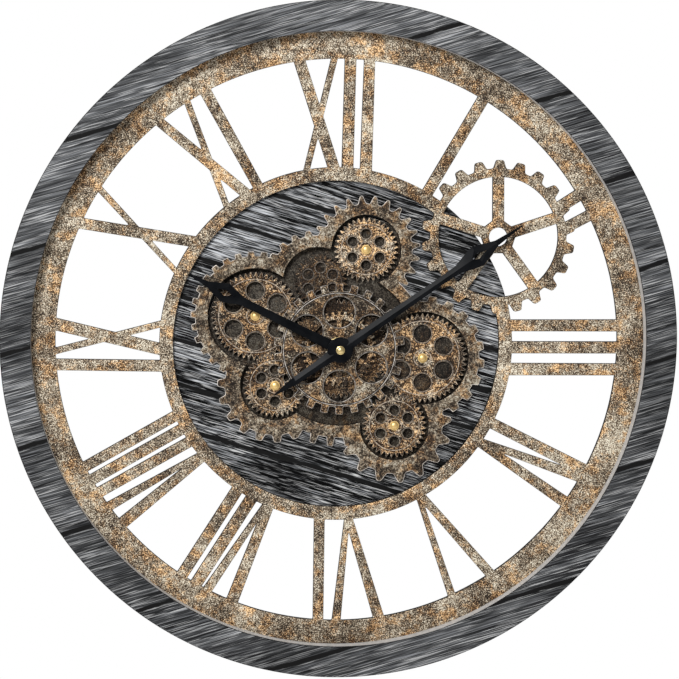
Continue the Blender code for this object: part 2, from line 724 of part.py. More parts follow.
def make_centre_gears():
    sleeve = [
        (11.0, 48.8),
        (11.0, CENTRE_LAYER[1] + GAP),
        (SLEEVE_RADIUS, CENTRE_LAYER[1] + GAP),
        (SLEEVE_RADIUS, SUN_LAYER[0]),
        (NOSE_RADIUS + GAP, SUN_LAYER[0]),
        (NOSE_RADIUS + GAP, 48.8),
    ]
    round_piece("centre_sleeve", sleeve, BRASS, steps=20, closed=True)
    bore = SLEEVE_RADIUS + GAP
    teeth = toothed(CENTRE_TEETH, CENTRE_TIP, CENTRE_ROOT, 0, crest=0.46, foot=0.54)
    front = flat("centre_gear", lightened(teeth, bore, 6, 13.9, 33.0, 0, 14), CENTRE_LAYER, AGED_BRONZE)
    lip = [(51.1, CENTRE_LIP[1]), (51.1, CENTRE_LIP[0]), (48.9, CENTRE_LIP[0]), (48.9, CENTRE_LIP[1])]
    boolean(front, round_piece("centre_gear_lip", lip, None, steps=40, closed=True), "UNION")
    ring_gap = {
        "wheel": [toothed(SECOND_TEETH, SECOND_TIP, SECOND_ROOT, 0, 0.4, 0.6)],
        "inside": [circle(26.0, sides=24)],
        "spoke": [bar((0, 0), polar(28.0, 60 * k), 5.0) for k in range(6)] + [circle(12.5, sides=16)],
        "bore": [circle(bore, sides=16)],
    }

    def is_solid(inside):
        return "wheel" in inside and "bore" not in inside and ("inside" not in inside or "spoke" in inside)

    flat("second_wheel", region(ring_gap, is_solid), SECOND_LAYER, BRONZE)
    flat("sun_gear", lightened(gear(SUN_TEETH), bore), SUN_LAYER, AGED_BRONZE)


def make_satellites():
    left = meshed(0, SUN_TEETH, LEFT_BEARING, LEFT_TEETH)
    lower_left = meshed(left, LEFT_TEETH, LOWER_LEFT_BEARING, LOWER_LEFT_TEETH)
    right_pinion = meshed(0, SUN_TEETH, RIGHT_BEARING, RIGHT_PINION_TEETH)
    lower_right = meshed(0, RIGHT_TEETH, LOWER_RIGHT_BEARING, LOWER_RIGHT_TEETH)
    upper_left_pinion = meshed(0, SUN_TEETH, UPPER_LEFT_BEARING, UPPER_LEFT_PINION_TEETH)
    upper_right = meshed(0, UPPER_LEFT_TEETH, UPPER_RIGHT_BEARING, UPPER_RIGHT_TEETH)
    motor = meshed(0, SUN_TEETH, MOTOR_BEARING, MOTOR_PINION_TEETH)
    bore = PIN_RADIUS + GAP
    through_both = (SUN_LAYER[0], SATELLITE_LAYER[1])
    large = {"holes": 6, "hole_radius": 8.0}
    small = {"holes": 6, "hole_radius": 4.5, "at_radius": 14.0}
    closer = {**small, "at_radius": 12.5}
    front, rear = SATELLITE_LAYER, SUN_LAYER
    wheels = [
        ("left_gear", "left", gear(LEFT_TEETH, left), {**large, "at_radius": 22.5}, through_both),
        ("lower_left_gear", "lower_left", gear(LOWER_LEFT_TEETH, lower_left), small, front),
        ("right_gear", "right", gear(RIGHT_TEETH), {**large, "at_radius": 21.8}, front),
        ("right_pinion", "right", gear(RIGHT_PINION_TEETH, right_pinion), {}, rear),
        ("lower_right_gear", "lower_right", gear(LOWER_RIGHT_TEETH, lower_right), small, front),
        ("upper_left_gear", "upper_left", gear(UPPER_LEFT_TEETH), closer, front),
        ("upper_left_pinion", "upper_left", gear(UPPER_LEFT_PINION_TEETH, upper_left_pinion), {}, rear),
        ("upper_right_gear", "upper_right", gear(UPPER_RIGHT_TEETH, upper_right), small, front),
    ]
    for name, place, outline, holes, layer in wheels:
        flat(name, lightened(outline, bore, **holes), layer, GOLD_BRONZE, SATELLITES[place])
    pinion = lightened(gear(MOTOR_PINION_TEETH, motor), 1.5)
    flat("motor_pinion", pinion, SUN_LAYER, BRASS, MOTOR_PLACE)
    for name, place in SATELLITES.items():
        head = PIN_HEAD if name != "upper_left" else 3.4
        top = SATELLITE_LAYER[1] + GAP
        pin = [
            (0, top + 2.2),
            (head * 0.6, top + 1.9),
            (head, top + 0.8),
            (head, top),
            (PIN_RADIUS, top),
            (PIN_RADIUS, MODULE_BASE[0]),
            (0, MODULE_BASE[0]),
        ]
        round_piece(f"{name}_pin", pin, BRASS, place, 12)


# ---------------------------------------------------------------- hands


def hand_loops(half_outline, window, boss, bore, bearing):
    """A hand's outlines. Half the outline is (distance along, half width), from its tail to its tip."""
    right = [(width, along) for along, width in half_outline]
    left = [(-width, along) for along, width in reversed(half_outline)]
    groups = {
        "hand": [turned_by(left + right, bearing), circle(boss, sides=24)],
        "opening": [turned_by(window, bearing), circle(bore, sides=10)],
    }
    return region(groups, lambda inside: "hand" in inside and "opening" not in inside)


def make_hands():
    minute = [(-MINUTE_TAIL, 0.6), (-48.0, 3.6), (-20.0, 4.2), (-8.0, 6.0), (10.0, 5.2), (22.0, 4.3)]
    minute += [(104.0, 3.3), (126.0, 3.9), (146.5, 9.8), (150.5, 9.4), (168.0, 2.6), (MINUTE_LENGTH, 0.4)]
    minute_window = [(0, 140.5), (2.8, 147.5), (0, 157.0), (-2.8, 147.5)]
    hour = [(-10.0, 4.0), (10.0, 4.6), (82.0, 3.4), (98.0, 3.9), (113.0, 8.8), (116.5, 8.5), (131.0, 2.6)]
    hour += [(HOUR_LENGTH, 0.4)]
    hour_window = [(0, 106.5), (2.8, 113.0), (0, 121.5), (-2.8, 113.0)]
    loops = hand_loops(minute, minute_window, 11.5, ARBOR_RADIUS + GAP, MINUTE_BEARING)
    flat("minute_hand", loops, MINUTE_HAND, BLACK_METAL)
    loops = hand_loops(hour, hour_window, 10.5, PIPE_RADIUS + GAP, HOUR_BEARING)
    flat("hour_hand", loops, HOUR_HAND, BLACK_METAL)
    cap = [(0, 62.2), (2.4, 61.8), (3.8, 60.6), (3.8, 59.3), (0, 59.3)]
    round_piece("cap_nut", cap, BRASS, steps=16)


LEFT_PLACE = polar(mesh_distance(SUN_TEETH, LEFT_TEETH), LEFT_BEARING)
RIGHT_PLACE = polar(mesh_distance(SUN_TEETH, RIGHT_PINION_TEETH), RIGHT_BEARING)
UPPER_LEFT_PLACE = polar(mesh_distance(SUN_TEETH, UPPER_LEFT_PINION_TEETH), UPPER_LEFT_BEARING)
SATELLITES = {
    "left": LEFT_PLACE,
    "lower_left": polar(mesh_distance(LEFT_TEETH, LOWER_LEFT_TEETH), LOWER_LEFT_BEARING, LEFT_PLACE),
    "right": RIGHT_PLACE,
    "lower_right": polar(mesh_distance(RIGHT_TEETH, LOWER_RIGHT_TEETH), LOWER_RIGHT_BEARING, RIGHT_PLACE),
    "upper_left": UPPER_LEFT_PLACE,
    "upper_right": polar(
        mesh_distance(UPPER_LEFT_TEETH, UPPER_RIGHT_TEETH), UPPER_RIGHT_BEARING, UPPER_LEFT_PLACE
    ),
}
MOTOR_PLACE = polar(mesh_distance(SUN_TEETH, MOTOR_PINION_TEETH), MOTOR_BEARING)
INTERMEDIATE_PLACE = polar(
    mesh_distance(MINUTE_PINION_TEETH, INTERMEDIATE_TEETH, MINUTE_MODULE), INTERMEDIATE_BEARING
)
SET_PLACE = polar(
    mesh_distance(INTERMEDIATE_TEETH, SET_TEETH, MINUTE_MODULE), SET_BEARING, INTERMEDIATE_PLACE
)

make_rim()
make_numeral_frame()
make_gear_plate()
make_backboard()
make_tub()
make_screws()
make_module_base()
make_hanger()
make_movement()
make_hand_setting_train()
make_motor()
make_centre_gears()
make_satellites()
make_hands()
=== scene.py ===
"""Looks of the skeleton clock: fine meshes, printed wood and bronze, soft studio light and the camera.

Flat shapes are drawn in the clock's face axes, in millimetres: x to the right, y up, depth out from the wall.
UPRIGHT stands them up in the row frame, where +Z is up and the dial faces -Y. Bearings are degrees clockwise
from twelve o'clock.
"""

import json
import math

import bmesh
import bpy
from mathutils import Matrix, Vector
from mathutils.geometry import delaunay_2d_cdt


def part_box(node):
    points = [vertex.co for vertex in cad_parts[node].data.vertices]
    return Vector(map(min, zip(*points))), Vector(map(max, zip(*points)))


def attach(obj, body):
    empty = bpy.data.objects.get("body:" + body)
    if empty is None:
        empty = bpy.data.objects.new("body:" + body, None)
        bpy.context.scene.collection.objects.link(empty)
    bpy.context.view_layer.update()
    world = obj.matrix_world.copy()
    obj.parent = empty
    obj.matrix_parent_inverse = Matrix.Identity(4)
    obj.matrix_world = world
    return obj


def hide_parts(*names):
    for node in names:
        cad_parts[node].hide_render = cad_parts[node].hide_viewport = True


MM = 0.001
UPRIGHT = Matrix.Rotation(math.pi / 2, 4, "X") @ Matrix.Scale(MM, 4)

# Shapes that the frame's boxes don't tell
RIM_SHELL = 2.0
OPENING_RADIUS = 272.5
REBATE_RADIUS = 288.0
OUTER_RING_INSIDE = 250.0
INNER_RING_INSIDE = 145.0
FOOT_RADIUS = 151.0
STROKE_INNER = 161.6
STROKE_OUTER = 245.4
OPEN_GEAR_AT = (141.6, 99.3)
NUMERALS = {
    "XII": [
        (-3.3, 0.5, -8.8, -6.4),
        (-10.0, -7.9, -1.7, -0.3),
        (1.7, 5.4, 1.4, 3.8),
        (7.5, 11.3, 5.4, 7.7),
    ],
    "I": [(29.3, 32.9, 29.9, 32.3)],
    "II": [(57.4, 60.5, 57.8, 60.3), (62.1, 65.2, 62.6, 64.9)],
    "III": [(82.5, 86.2, 85.8, 88.3), (89.4, 93.2, 90.4, 92.9), (96.3, 100.2, 95.0, 97.5)],
    "IV": [(115.4, 118.9, 116.6, 119.1), (122.6, 124.8, 118.6, 120.8), (123.4, 126.1, 124.3, 126.7)],
    "V": [(149.0, 151.6, 145.9, 148.0), (151.1, 152.9, 154.9, 156.5)],
    "VI": [(174.1, 176.6, 170.5, 172.8), (175.8, 177.6, 179.2, 181.0), (183.6, 187.0, 182.9, 185.1)],
    "VII": [
        (200.9, 204.0, 200.8, 203.3),
        (203.2, 205.0, 206.5, 208.4),
        (207.0, 210.8, 208.9, 211.4),
        (212.3, 216.0, 212.4, 214.8),
    ],
    "VIII": [
        (228.4, 231.2, 228.6, 231.0),
        (230.6, 232.2, 233.1, 235.0),
        (234.9, 238.3, 236.5, 238.7),
        (239.5, 243.0, 239.5, 241.8),
        (244.2, 247.6, 242.6, 244.8),
    ],
    "IX": [(261.5, 265.2, 264.1, 266.5), (267.1, 271.0, 272.1, 274.7), (275.0, 277.2, 267.7, 269.1)],
    "X": [(302.9, 306.8, 293.9, 296.3), (294.4, 296.3, 301.7, 303.1)],
    "XI": [(326.6, 330.2, 320.1, 322.2), (321.1, 323.2, 326.9, 328.3), (331.9, 335.2, 330.9, 333.3)],
}
# Each disc of the gear plate: place, tip, root, teeth, first tooth, crest, foot, corner rounding
PLATE_DISCS = [
    ((-74.5, 29.5), 57.6, 53.6, 30, 248.0, 0.44, 0.60, 0.8),
    ((-18.9, 54.7), 51.2, 46.5, 24, 4.8, 0.30, 0.62, 1.6),
    ((24.0, 88.0), 48.4, 41.2, 24, 9.8, 0.20, 0.70, 1.8),
    ((74.3, -8.5), 55.8, 51.0, 21, 78.3, 0.42, 0.62, 1.1),
    ((49.5, -68.9), 51.3, 43.0, 16, 151.3, 0.20, 0.66, 2.4),
    ((-57.1, -32.0), 51.5, 44.9, 19, 234.5, 0.34, 0.60, 2.2),
]
PLATE_RING = ((0.0, 0.0), 87.3, 79.4, 34, 185.4)
PLATE_WINDOWS = [
    ((-74.5, 29.5), 42.1),
    ((-57.1, -32.0), 30.7),
    ((0.0, 0.0), 67.9),
    ((49.3, -68.7), 30.4),
    ((74.3, -8.5), 40.9),
    ((24.0, 88.3), 30.7),
    ((-18.9, 59.2), 31.1),
]
PINS = ("left", "lower_left", "right", "lower_right", "upper_left", "upper_right")
PIN_BORE = 2.3
CENTRE_BORE = 7.8
CENTRE_LINE_RADIUS = 49.9
MODULE = 1.5
SUN_TEETH = 57
LEFT_TEETH = 50
RIGHT_TEETH = 51
UPPER_LEFT_TEETH = 30
SMALL_TEETH = 36
MINUTE_BEARING = 55.8
MINUTE_BOSS = 11.4
HOUR_BEARING = 296.6
HOUR_BOSS = 10.4
BACK_SCREWS = 3

# A piece's materials: flat face, cut edge and worn bevel, then one for raised lines
FACE, EDGE, WORN, LINE, HOLE_RIM = range(5)

# Light and camera, in metres and degrees
FRONT_LIGHT = 0.36
KEY_AT = (-0.9, -2.6, 1.2)
KEY_SIZE = 0.9
KEY_POWER = 84.0
BACK_FILL_AT = (1.2, 2.0, 1.4)
BACK_FILL_SIZE = 1.2
BACK_FILL_POWER = 25.0
FLOOR_RADIUS = 6.5
FLOOR_LEVEL = -1.7
CAMERA_DISTANCE = 2.8
CAMERA_SIDE = -4.5
CAMERA_RISE = 4.5
CAMERA_TURN = 3.0
AIM_OFFSET = (-0.6, 0.8)
PICTURE_WIDTH = 0.5996


# ---------------------------------------------------------------- the frame

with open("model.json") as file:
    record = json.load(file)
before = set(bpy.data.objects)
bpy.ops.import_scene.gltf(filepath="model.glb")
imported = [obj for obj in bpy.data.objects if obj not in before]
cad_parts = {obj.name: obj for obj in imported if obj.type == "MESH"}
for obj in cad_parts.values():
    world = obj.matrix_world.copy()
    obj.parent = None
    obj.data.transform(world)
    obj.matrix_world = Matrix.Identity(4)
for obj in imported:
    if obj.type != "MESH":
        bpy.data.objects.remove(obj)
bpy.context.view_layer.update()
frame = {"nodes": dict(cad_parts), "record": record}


def middle(node):
    """Middle of a CAD node on the face, in millimetres."""
    low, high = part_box(node)
    return ((low.x + high.x) / 2 / MM, (low.z + high.z) / 2 / MM)


def depths(node):
    """(back, front) of a CAD node, as depths from the wall in millimetres."""
    low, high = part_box(node)
    return (-high.y / MM, -low.y / MM)


def half_width(node):
    low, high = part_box(node)
    return (high.x - low.x) / 2 / MM


RIM_AT = middle("rim_face")
OUTER_RING_AT = middle("numeral_frame")
INNER_RING_AT = middle("backboard")


# ---------------------------------------------------------------- flat outlines


def polar(radius, bearing, centre=(0.0, 0.0)):
    angle = math.radians(bearing)
    return (centre[0] + radius * math.sin(angle), centre[1] + radius * math.cos(angle))


def turned_by(points, bearing):
    """Points turned clockwise about the origin."""
    angle = math.radians(bearing)
    cosine, sine = math.cos(angle), math.sin(angle)
    return [(x * cosine + y * sine, y * cosine - x * sine) for x, y in points]


def circle(radius, centre=(0.0, 0.0), sides=96):
    return [polar(radius, 360 * index / sides, centre) for index in range(sides)]


def bar(start, end, width):
    """A straight bar's four corners."""
    along = (Vector(end) - Vector(start)).normalized() * (width / 2)
    side = Vector((-along.y, along.x))
    corners = (Vector(start) - side, Vector(end) - side, Vector(end) + side, Vector(start) + side)
    return [tuple(corner) for corner in corners]


def toothed(count, tip, root, first=0.0, crest=0.3, foot=0.65, centre=(0.0, 0.0)):
    """A toothed wheel's outline. Crest and foot are a tooth's widths, as shares of the pitch."""
    step = 360 / count
    points = []
    for index in range(count):
        here = first + index * step
        points.append(polar(root, here - foot * step / 2, centre))
        points.append(polar(tip, here - crest * step / 2, centre))
        points.append(polar(tip, here + crest * step / 2, centre))
        points.append(polar(root, here + foot * step / 2, centre))
    return points


def gear(count, first=0.0, centre=(0.0, 0.0)):
    """A working gear's outline: narrow crests and gaps that close towards the root."""
    pitch = MODULE * count / 2
    return toothed(count, pitch + MODULE, pitch - 1.6 * MODULE, first, 0.14, 0.9, centre)


def meshed(first, teeth, bearing, other_teeth):
    """First-tooth bearing of a gear in mesh with one whose teeth are known, lying at a bearing from it."""
    share = (bearing - first) * teeth / 360
    return bearing + 180 - (0.5 - share) * 360 / other_teeth


def anticlockwise(points):
    area = sum(a[0] * b[1] - b[0] * a[1] for a, b in zip(points, points[1:] + points[:1]))
    return list(points) if area > 0 else list(reversed(points))


def region(groups, is_solid):
    """Outlines of a flat shape. Groups name sets of outlines; is_solid judges a spot by those round it."""
    outlines = []
    owners = []
    for group, members in groups.items():
        for member in members:
            outlines.append(anticlockwise(member))
            owners.append(group)
    corners = [Vector(point) for outline in outlines for point in outline]
    faces = []
    start = 0
    for outline in outlines:
        faces.append(list(range(start, start + len(outline))))
        start += len(outline)
    points, _, triangles, _, _, sources = delaunay_2d_cdt(corners, [], faces, 1, 1e-5)
    edges = set()
    for triangle, inside in zip(triangles, sources):
        if is_solid({owners[index] for index in inside}):
            edges.update(zip(triangle, triangle[1:] + triangle[:1]))
    following = {a: b for a, b in edges if (b, a) not in edges}
    loops = []
    while following:
        place = next(iter(following))
        loop = []
        while place in following:
            loop.append(tuple(points[place]))
            place = following.pop(place)
        loops.append(without_straights(loop))
    return loops


def without_straights(loop):
    """The same outline with the points along its straight stretches left out."""
    kept = []
    for before, here, after in zip(loop[-1:] + loop[:-1], loop, loop[1:] + loop[:1]):
        coming = Vector(here) - Vector(before)
        going = Vector(after) - Vector(here)
        if abs(coming.cross(going)) > 1e-4 * coming.length * going.length:
            kept.append(here)
    return kept


def rounded(loop, radius, pieces=3, sharpest=22):
    """The outline with each of its corners replaced by a small curve."""
    result = []
    for before, here, after in zip(loop[-1:] + loop[:-1], loop, loop[1:] + loop[:1]):
        corner = Vector(here)
        back = Vector(before) - corner
        onward = Vector(after) - corner
        turn = (-back).angle(onward, 0.0)
        if turn < math.radians(sharpest):
            result.append(here)
            continue
        cut = radius * math.tan(min(turn, 2.6) / 2)
        start = corner + back.normalized() * min(cut, 0.45 * back.length)
        end = corner + onward.normalized() * min(cut, 0.45 * onward.length)
        for index in range(pieces + 1):
            share = index / pieces
            spot = start * (1 - share) ** 2 + corner * 2 * share * (1 - share) + end * share**2
            result.append(tuple(spot))
    return result


# ---------------------------------------------------------------- mesh pieces


class Piece:
    """A mesh under construction in the clock's face axes."""

    def __init__(self):
        self.sheet = bmesh.new()

    def plate(self, loops, span, bevel=0.3, face=FACE, edge=EDGE, worn=WORN):
        """A flat plate with bevelled rims: face, cut edge and worn bevel take their own materials."""
        back, front = span
        curve = bpy.data.curves.new("outline", "CURVE")
        curve.dimensions = "2D"
        curve.fill_mode = "BOTH"
        curve.extrude = (front - back) / 2 - bevel
        curve.bevel_depth = bevel
        curve.bevel_resolution = 1
        curve.offset = -bevel
        for loop in loops:
            spline = curve.splines.new("POLY")
            spline.points.add(len(loop) - 1)
            for point, (x, y) in zip(spline.points, loop):
                point.co = (x, y, 0, 1)
            spline.use_cyclic_u = True
        outline = bpy.data.objects.new("outline", curve)
        bpy.context.scene.collection.objects.link(outline)
        bpy.context.view_layer.update()
        evaluated = outline.evaluated_get(bpy.context.evaluated_depsgraph_get())
        mesh = bpy.data.meshes.new_from_object(evaluated)
        bpy.data.objects.remove(outline, do_unlink=True)
        mesh.transform(Matrix.Translation((0, 0, (front + back) / 2)))
        known = len(self.sheet.faces)
        self.sheet.from_mesh(mesh)
        bpy.data.meshes.remove(mesh)
        self.sheet.faces.ensure_lookup_table()
        for index in range(known, len(self.sheet.faces)):
            made = self.sheet.faces[index]
            lean = abs(made.normal.z)
            made.material_index = face if lean > 0.99 else worn if lean > 0.2 else edge
            made.smooth = lean <= 0.99
        return self

    def turned(self, profile, centre=(0.0, 0.0), steps=96, closed=False, look=FACE):
        """A turned shape from a profile of (radius, depth). Look is a material, or gives one for each row."""
        columns = []
        for index in range(steps):
            angle = 2 * math.pi * index / steps
            column = []
            for radius, depth in profile:
                x = centre[0] + radius * math.cos(angle)
                y = centre[1] + radius * math.sin(angle)
                column.append(self.sheet.verts.new((x, y, depth)))
            columns.append(column)
        count = len(profile)
        rows = range(count if closed else count - 1)
        for left, right in zip(columns, columns[1:] + columns[:1]):
            for row in rows:
                after = (row + 1) % count
                corners = [left[row], right[row], right[after], left[after]]
                made = self.sheet.faces.new(corners)
                made.material_index = look(row) if callable(look) else look
                made.smooth = True
        return self

    def box(self, size, place, bevel):
        """A bevelled box: sizes and middle as (x, y, depth)."""
        made = bmesh.ops.create_cube(self.sheet, size=1.0)
        corners = made["verts"]
        bmesh.ops.scale(self.sheet, vec=size, verts=corners)
        bmesh.ops.translate(self.sheet, vec=place, verts=corners)
        edges = list({edge for corner in corners for edge in corner.link_edges})
        bmesh.ops.bevel(
            self.sheet, geom=edges, offset=bevel, segments=2, profile=0.5, affect="EDGES", clamp_overlap=True
        )
        return self

    def finish(self, name, body, replaced, slot, looks, sharp=24):
        """Stands the mesh up as a piece that rides on its body in place of CAD nodes."""
        bmesh.ops.remove_doubles(self.sheet, verts=self.sheet.verts, dist=1e-4)
        loose = [face for face in self.sheet.faces if face.calc_area() < 1e-9]
        bmesh.ops.delete(self.sheet, geom=loose, context="FACES_ONLY")
        bmesh.ops.recalc_face_normals(self.sheet, faces=self.sheet.faces)
        mesh = bpy.data.meshes.new(name)
        self.sheet.to_mesh(mesh)
        self.sheet.free()
        mesh.transform(UPRIGHT)
        mesh.set_sharp_from_angle(angle=math.radians(sharp))
        for look in looks:
            mesh.materials.append(look)
        made = bpy.data.objects.new(name, mesh)
        bpy.context.scene.collection.objects.link(made)
        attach(made, body)
        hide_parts(*replaced)
        return made


# ---------------------------------------------------------------- materials


class Look:
    """A procedural material and short ways to add nodes to it."""

    def __init__(self, name, **constants):
        self.material = bpy.data.materials.new(name)
        self.material.use_nodes = True
        self.tree = self.material.node_tree
        self.shader = self.tree.nodes["Principled BSDF"]
        for socket, value in constants.items():
            self.shader.inputs[socket.replace("_", " ")].default_value = value
        texture = self.node("ShaderNodeTexCoord").outputs["Object"]
        self.place = self.node("ShaderNodeVectorMath", {0: texture, 3: 1 / MM}, operation="SCALE").outputs[0]

    def node(self, kind, inputs=None, **settings):
        made = self.tree.nodes.new(kind)
        for setting, value in settings.items():
            setattr(made, setting, value)
        for key, value in (inputs or {}).items():
            if isinstance(value, bpy.types.NodeSocket):
                self.tree.links.new(value, made.inputs[key])
            else:
                made.inputs[key].default_value = value
        return made

    def maths(self, operation, first, second=0.0, third=0.0):
        inputs = {0: first, 1: second, 2: third}
        return self.node("ShaderNodeMath", inputs, operation=operation).outputs[0]

    def noise(self, vector, scale, detail=4.0, roughness=0.6, distortion=0.0):
        inputs = {"Vector": vector, "Scale": scale, "Detail": detail, "Roughness": roughness}
        inputs["Distortion"] = distortion
        return self.node("ShaderNodeTexNoise", inputs).outputs[0]

    def stretched(self, vector, factors):
        """The vector times one factor, or three."""
        factors = factors if isinstance(factors, tuple) else (factors,) * 3
        inputs = {0: vector, 1: factors}
        return self.node("ShaderNodeVectorMath", inputs, operation="MULTIPLY").outputs[0]

    def moved(self, vector, offset):
        inputs = {0: vector, 1: offset}
        return self.node("ShaderNodeVectorMath", inputs, operation="ADD").outputs[0]

    def between(self, value, low, high, to_low=0.0, to_high=1.0):
        inputs = {0: value, 1: low, 2: high, 3: to_low, 4: to_high}
        return self.node("ShaderNodeMapRange", inputs, clamp=True).outputs[0]

    def ramp(self, value, stops):
        made = self.node("ShaderNodeValToRGB", {0: value})
        elements = made.color_ramp.elements
        while len(elements) < len(stops):
            elements.new(0.5)
        for element, (position, colour) in zip(elements, stops):
            element.position = position
            element.color = (*colour, 1.0)
        return made.outputs[0]

    def mix(self, share, first, second, blend="MIX"):
        first, second = [(*c, 1.0) if isinstance(c, tuple) and len(c) == 3 else c for c in (first, second)]
        made = self.node("ShaderNodeMix", {0: share}, data_type="RGBA", blend_type=blend)
        for index, value in ((6, first), (7, second)):
            if isinstance(value, bpy.types.NodeSocket):
                self.tree.links.new(value, made.inputs[index])
            else:
                made.inputs[index].default_value = value
        return made.outputs[2]

    def finish(self, colour, roughness=None, height=None, strength=0.3, distance=0.3):
        self.tree.links.new(colour, self.shader.inputs["Base Color"])
        if roughness is not None:
            self.tree.links.new(roughness, self.shader.inputs["Roughness"])
        if height is not None:
            inputs = {"Height": height, "Strength": strength, "Distance": distance * MM}
            bump = self.node("ShaderNodeBump", inputs)
            self.tree.links.new(bump.outputs[0], self.shader.inputs["Normal"])
        return self.material


def grey(value, warmth=0.0):
    """A grey that warmth turns towards brown."""
    return (value * (1 + warmth), value, value * (1 - warmth))


def planks(name, slope, width, tones, fleck, shift, shade_and_fleck_fade, bite, along):
    """Printed, brushed planks. Slope is the grain's rise to the right in degrees; tones run dark to light.
    Shade_and_fleck_fade darkens the print towards the lower right, partly as painted shade away from the key
    light at the upper left and partly as a real change of tone in the print, and thickens the flecks there.
    Bite is the contrast of the grain, and along is how often a streak starts, per millimetre."""
    look = Look(name, Roughness=0.7, Specular_IOR_Level=0.04)
    inputs = {"Vector": look.place, "Angle": math.radians(slope)}
    turned = look.node("ShaderNodeVectorRotate", inputs, rotation_type="Y_AXIS").outputs[0]
    wander = look.noise(look.stretched(turned, 0.006), 1.0, 2.0)
    axes = look.node("ShaderNodeSeparateXYZ", {0: turned})
    across = look.maths("MULTIPLY_ADD", look.maths("SUBTRACT", wander, 0.5), 9.0, axes.outputs[2])
    across = look.maths("ADD", across, shift)
    plank = look.maths("FLOOR", look.maths("DIVIDE", across, width))
    tint = look.node("ShaderNodeTexWhiteNoise", {"W": plank}, noise_dimensions="1D").outputs[0]
    away = look.maths("PINGPONG", across, width / 2)
    ragged = look.noise(look.stretched(turned, (0.05, 0.3, 0.5)), 1.0, 3.0, 0.7)
    seam = look.between(look.maths("SUBTRACT", away, look.maths("MULTIPLY", ragged, 4.2)), -0.5, 0.3)
    slid = look.node("ShaderNodeCombineXYZ", {0: look.maths("MULTIPLY", tint, 300.0)}).outputs[0]
    grain = look.moved(turned, slid)
    coarse = look.noise(look.stretched(grain, (0.3 * along, 0.1, 0.16)), 1.0, 3.0, 0.6, 0.1)
    fine = look.noise(look.stretched(grain, (along, 0.5, 1.35)), 1.0, 1.5, 0.6)
    brushed = look.noise(look.stretched(grain, (1.3 * along, 0.5, 1.6)), 1.0, 1.0, 0.7)
    cloud = look.noise(look.stretched(grain, (0.012, 0.02, 0.03)), 1.0, 3.0)
    scene_axes = look.node("ShaderNodeSeparateXYZ", {0: look.place})
    diagonal = look.maths("SUBTRACT", scene_axes.outputs[0], scene_axes.outputs[2])
    lower_right = look.between(diagonal, -320.0, 320.0)
    tone = look.maths("MULTIPLY_ADD", fine, 0.86, look.maths("MULTIPLY", coarse, 0.22))
    tone = look.maths("ADD", tone, look.between(cloud, 0.3, 0.7, -0.06, 0.06))
    tone = look.maths("ADD", tone, look.between(tint, 0.0, 1.0, -0.035, 0.035))
    # Painted shade: the tone drops towards the lower right, away from the key light, partly shade and partly
    # a real change of print
    tone = look.maths("MULTIPLY_ADD", lower_right, -shade_and_fleck_fade, tone)
    dark, middle_tone, light = tones
    stops = [(-1.0, dark), (0.0, middle_tone), (1.0, light), (2.1, light * 2.5)]
    stops = [(0.53 + 0.1 * step / bite, grey(value)) for step, value in stops]
    colour = look.mix(1.0, look.ramp(tone, stops), (0.97, 1.0, 1.05), "MULTIPLY")
    patch = look.between(cloud, 0.36, 0.6, 0.35, 1.0)
    fleck_share = look.between(lower_right, 0.0, 1.0, fleck * (1 - 4 * shade_and_fleck_fade), fleck)
    amount = look.maths("MULTIPLY", patch, fleck_share)
    flecks = look.maths("MULTIPLY", look.between(brushed, 0.57, 0.65), amount)
    colour = look.mix(flecks, colour, grey(0.62))
    colour = look.mix(seam, grey(0.008), colour)
    height = look.maths("MULTIPLY", tone, seam)
    rough = look.between(tone, 0.3, 0.8, 0.75, 0.55)
    return look.finish(colour, rough, height, 0.3, 0.25)


def bronze(name, lights=1.0, gold=0.5, contrast=1.0, shift=(0.0, 0.0, 0.0), calm=0.0, dark=0.0):
    """Sponged bronze: fine specks of black, brown, tan and cream over patches that lean grey or golden.
    Calm trades the specks for broad smudges; dark shows more of the brown and black."""
    look = Look(name, Metallic=0.1, Roughness=0.65, Specular_IOR_Level=0.25)
    place = look.moved(look.place, shift)
    fine = look.noise(look.stretched(place, 0.8), 1.0, 2.0, 0.65)
    grit = look.noise(look.stretched(place, 1.3), 1.0, 1.0, 0.6)
    broad = look.noise(look.stretched(place, 0.19), 1.0, 4.0, 0.72, 0.4)
    patches = look.noise(look.stretched(place, 0.028), 1.0, 3.0, 0.6)
    specks = 0.70 - 0.30 * calm
    smudges = look.maths("MULTIPLY", broad, 0.44 + 0.30 * calm)
    tone = look.maths("MULTIPLY_ADD", fine, specks, smudges)
    tone = look.maths("MULTIPLY_ADD", grit, specks, tone)
    tone = look.maths("ADD", tone, look.between(patches, 0.3, 0.7, -0.07, 0.07))
    centre = 0.92 - 0.15 * calm + dark
    spread = 0.17 / contrast
    tone = look.between(tone, centre - spread, centre + spread * 1.15)
    paints = [
        (0.03, (0.016, 0.010, 0.006)),
        (0.26, (0.085, 0.055, 0.034)),
        (0.50, (0.26, 0.19, 0.125)),
        (0.74, (0.50, 0.38, 0.26)),
        (0.97, (0.86, 0.76, 0.60)),
    ]
    stops = [(position, tuple(channel * lights for channel in paint)) for position, paint in paints]
    colour = look.ramp(tone, stops)
    lean = look.noise(look.stretched(place, 0.07), 1.0, 6.0, 0.78)
    lean = look.between(lean, 0.58 - 0.2 * gold, 0.68 - 0.18 * gold)
    golden = look.mix(1.0, colour, (1.17, 0.86, 0.52), "MULTIPLY")
    greyed = look.mix(1.0, colour, (0.88, 0.93, 0.96), "MULTIPLY")
    colour = look.mix(look.maths("MULTIPLY", lean, 0.85), greyed, golden)
    rough = look.between(tone, 0.0, 1.0, 0.78, 0.5)
    return look.finish(colour, rough, tone, 0.2, 0.2)


